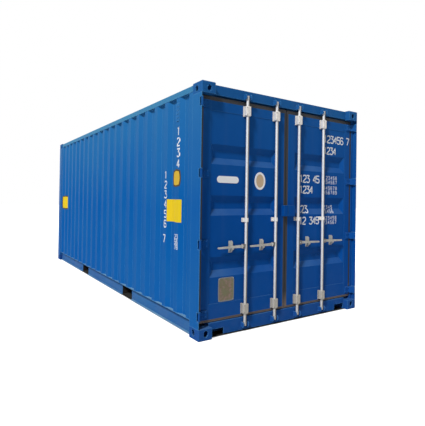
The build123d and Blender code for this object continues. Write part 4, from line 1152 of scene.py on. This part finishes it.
def bead(path):
    """Tube of rippling radius about a path: rings square to it, drawn to a point at its ends."""
    path = np.asarray(path, float)
    along = np.gradient(path, axis=0)
    length = np.linalg.norm(along, axis=1, keepdims=True)
    along /= length
    reference = np.eye(3)[np.argmin(np.abs(along).mean(0))]
    across = np.cross(along, reference)
    across /= np.linalg.norm(across, axis=1, keepdims=True)
    third = np.cross(along, across)
    walked = np.cumsum(length)
    radius = BEAD_RADIUS * (1 + BEAD_RIPPLE * np.sin(2 * np.pi * walked / BEAD_STEP))
    radius[[0, -1]] = 0
    angle = np.linspace(0, 2 * np.pi, BEAD_SIDES, endpoint=False)
    ring = np.cos(angle)[:, None, None] * across + np.sin(angle)[:, None, None] * third
    return np.swapaxes(path + ring * radius[:, None], 0, 1)


def add_weld(name, x, y, z):
    """A painted bead on the box, along a path given by its three coordinates."""
    path = np.stack(np.broadcast_arrays(x, y, z), -1)
    add_shell(name, bead(path), skin_paint, "container")


long_run = np.arange(wall_low.x, wall_high.x, BEAD_STEP / 2)
wide_run = np.arange(end_low.y, end_high.y, BEAD_STEP / 2)
tall_run = np.arange(wall_low.z, wall_high.z, BEAD_STEP / 2)
for side, sign in SIDES:
    skin_y = sign * (abs(wall_face) - wall_depth(long_run))
    for level, z in (("foot", wall_low.z), ("head", wall_high.z)):
        add_weld(f"{side}_wall_{level}_weld", long_run, skin_y, z)
    for end, x in (("front", wall_low.x), ("rear", wall_high.x)):
        add_weld(f"{side}_{end}_post_weld", x, sign * abs(wall_face), tall_run)
end_x = end_low.x + wave_depth(wide_run, END_PITCH, END_FLAT, END_SLOPE, END_DEPTH)
for level, z in (("foot", end_low.z), ("head", end_high.z)):
    add_weld(f"blind_end_{level}_weld", end_x, wide_run, z)
print("beads along", len(long_run), "steps of a wall")

# %% [markdown]
# Over each bottom fitting of the blind end, a small plate closes the gap between the post, the
# beam and the foot of the wall. It is a flat patch, given its thickness by a modifier.

# %% Closing plates
CLOSER_LAP = 0.004
CLOSER_THICKNESS = 0.005
CLOSER_POINTS = 3
beam_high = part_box("front_bottom_beam")[1]
fitting_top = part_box("bottom_front_left_corner_fitting")[1].z
levels = np.linspace(fitting_top - CLOSER_LAP, end_low.z + CLOSER_LAP, CLOSER_POINTS)
for side, sign in SIDES:
    ends = sorted((sign * (beam_high.y - CLOSER_LAP), sign * (end_high.y + CLOSER_LAP)))
    across, up = np.meshgrid(np.linspace(*ends[::-1], CLOSER_POINTS), levels)
    closer = np.stack([np.full_like(across, end_low.x + CLOSER_THICKNESS), across, up], -1)
    add_surface(
        f"{side}_front_closing_plate", closer, skin_paint, "container",
        thickness=CLOSER_THICKNESS,
    )
print("closing plates over fittings at z", round(fitting_top, 3))

# %% [markdown]
# Each leaf's gasket ends in a soft lip that fills the gap round the leaf. The lip is a profile
# carried round a rectangle: every profile row is the leaf's outline grown by that row's reach.

# %% Gasket lips
LIP_PROFILE = np.asarray([
    (-0.001, 0.0732), (0.006, 0.0726), (0.0095, 0.0735), (0.0112, 0.0752), (0.0106, 0.0775),
    (0.008, 0.0785), (-0.001, 0.0785), (-0.001, 0.0732),
])


def gasket_lip(stiles):
    """Corners of the leaf's outline, grown outwards by each profile row, at the row's depth."""
    low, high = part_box(stiles)
    reach, depth = LIP_PROFILE.T
    y = np.stack([low.y - reach, high.y + reach, high.y + reach, low.y - reach], -1)
    z = np.stack([low.z - reach, low.z - reach, high.z + reach, high.z + reach], -1)
    x = np.broadcast_to((REAR_PLANE - depth)[:, None], y.shape)
    return np.stack([x, y, z], -1)


for side, _ in SIDES:
    lip = gasket_lip(f"{side}_door_stiles")
    add_shell(f"{side}_gasket_lip", lip, rubber, f"{side}_door")
print("lips have", len(LIP_PROFILE), "profile rows")

# %% [markdown]
# On the hinge side the gasket's outer flap laps over the edge of the leaf and bridges the gap to
# the post, so a dark line runs beside the hinges. It is an extruded rubber strip, cut away at
# every hinge blade: a flattened oval section drawn out between two levels.

# %% Hinge side flaps
FLAP_SECTION = np.asarray([(0.0375, 0.0700), (0.0640, 0.0724)])
FLAP_ENDS = np.asarray((0.0, 1.0, 1.0, 0.0))
FLAP_POWER = 5.0
FLAP_POINTS = 16
BLADE_CLEARANCE = 0.046


def hinge_flaps(sign):
    """Section (inset, depth) is a superellipse, shrunk to its middle at the ends to close."""
    oval = superellipse(FLAP_POWER, FLAP_POINTS)
    rows = FLAP_ENDS[:, None, None] * oval * np.ptp(FLAP_SECTION, axis=0) / 2
    inset, depth = np.moveaxis(rows + np.mean(FLAP_SECTION, axis=0), -1, 0)
    low, high = HINGE_Z[:-1] + BLADE_CLEARANCE, HINGE_Z[1:] - BLADE_CLEARANCE
    levels = np.stack([low, low, high, high], -1)
    z = np.broadcast_to(levels[..., None], (*levels.shape, FLAP_POINTS))
    x = np.broadcast_to(REAR_PLANE - depth, z.shape)
    y = np.broadcast_to(sign * (cad_box[1].y - inset), z.shape)
    return np.stack([x, y, z], -1)


for side, sign in SIDES:
    add_shell(f"{side}_hinge_side_flap", hinge_flaps(sign), rubber, f"{side}_door")
print("flaps between", len(HINGE_Z), "hinges a leaf")
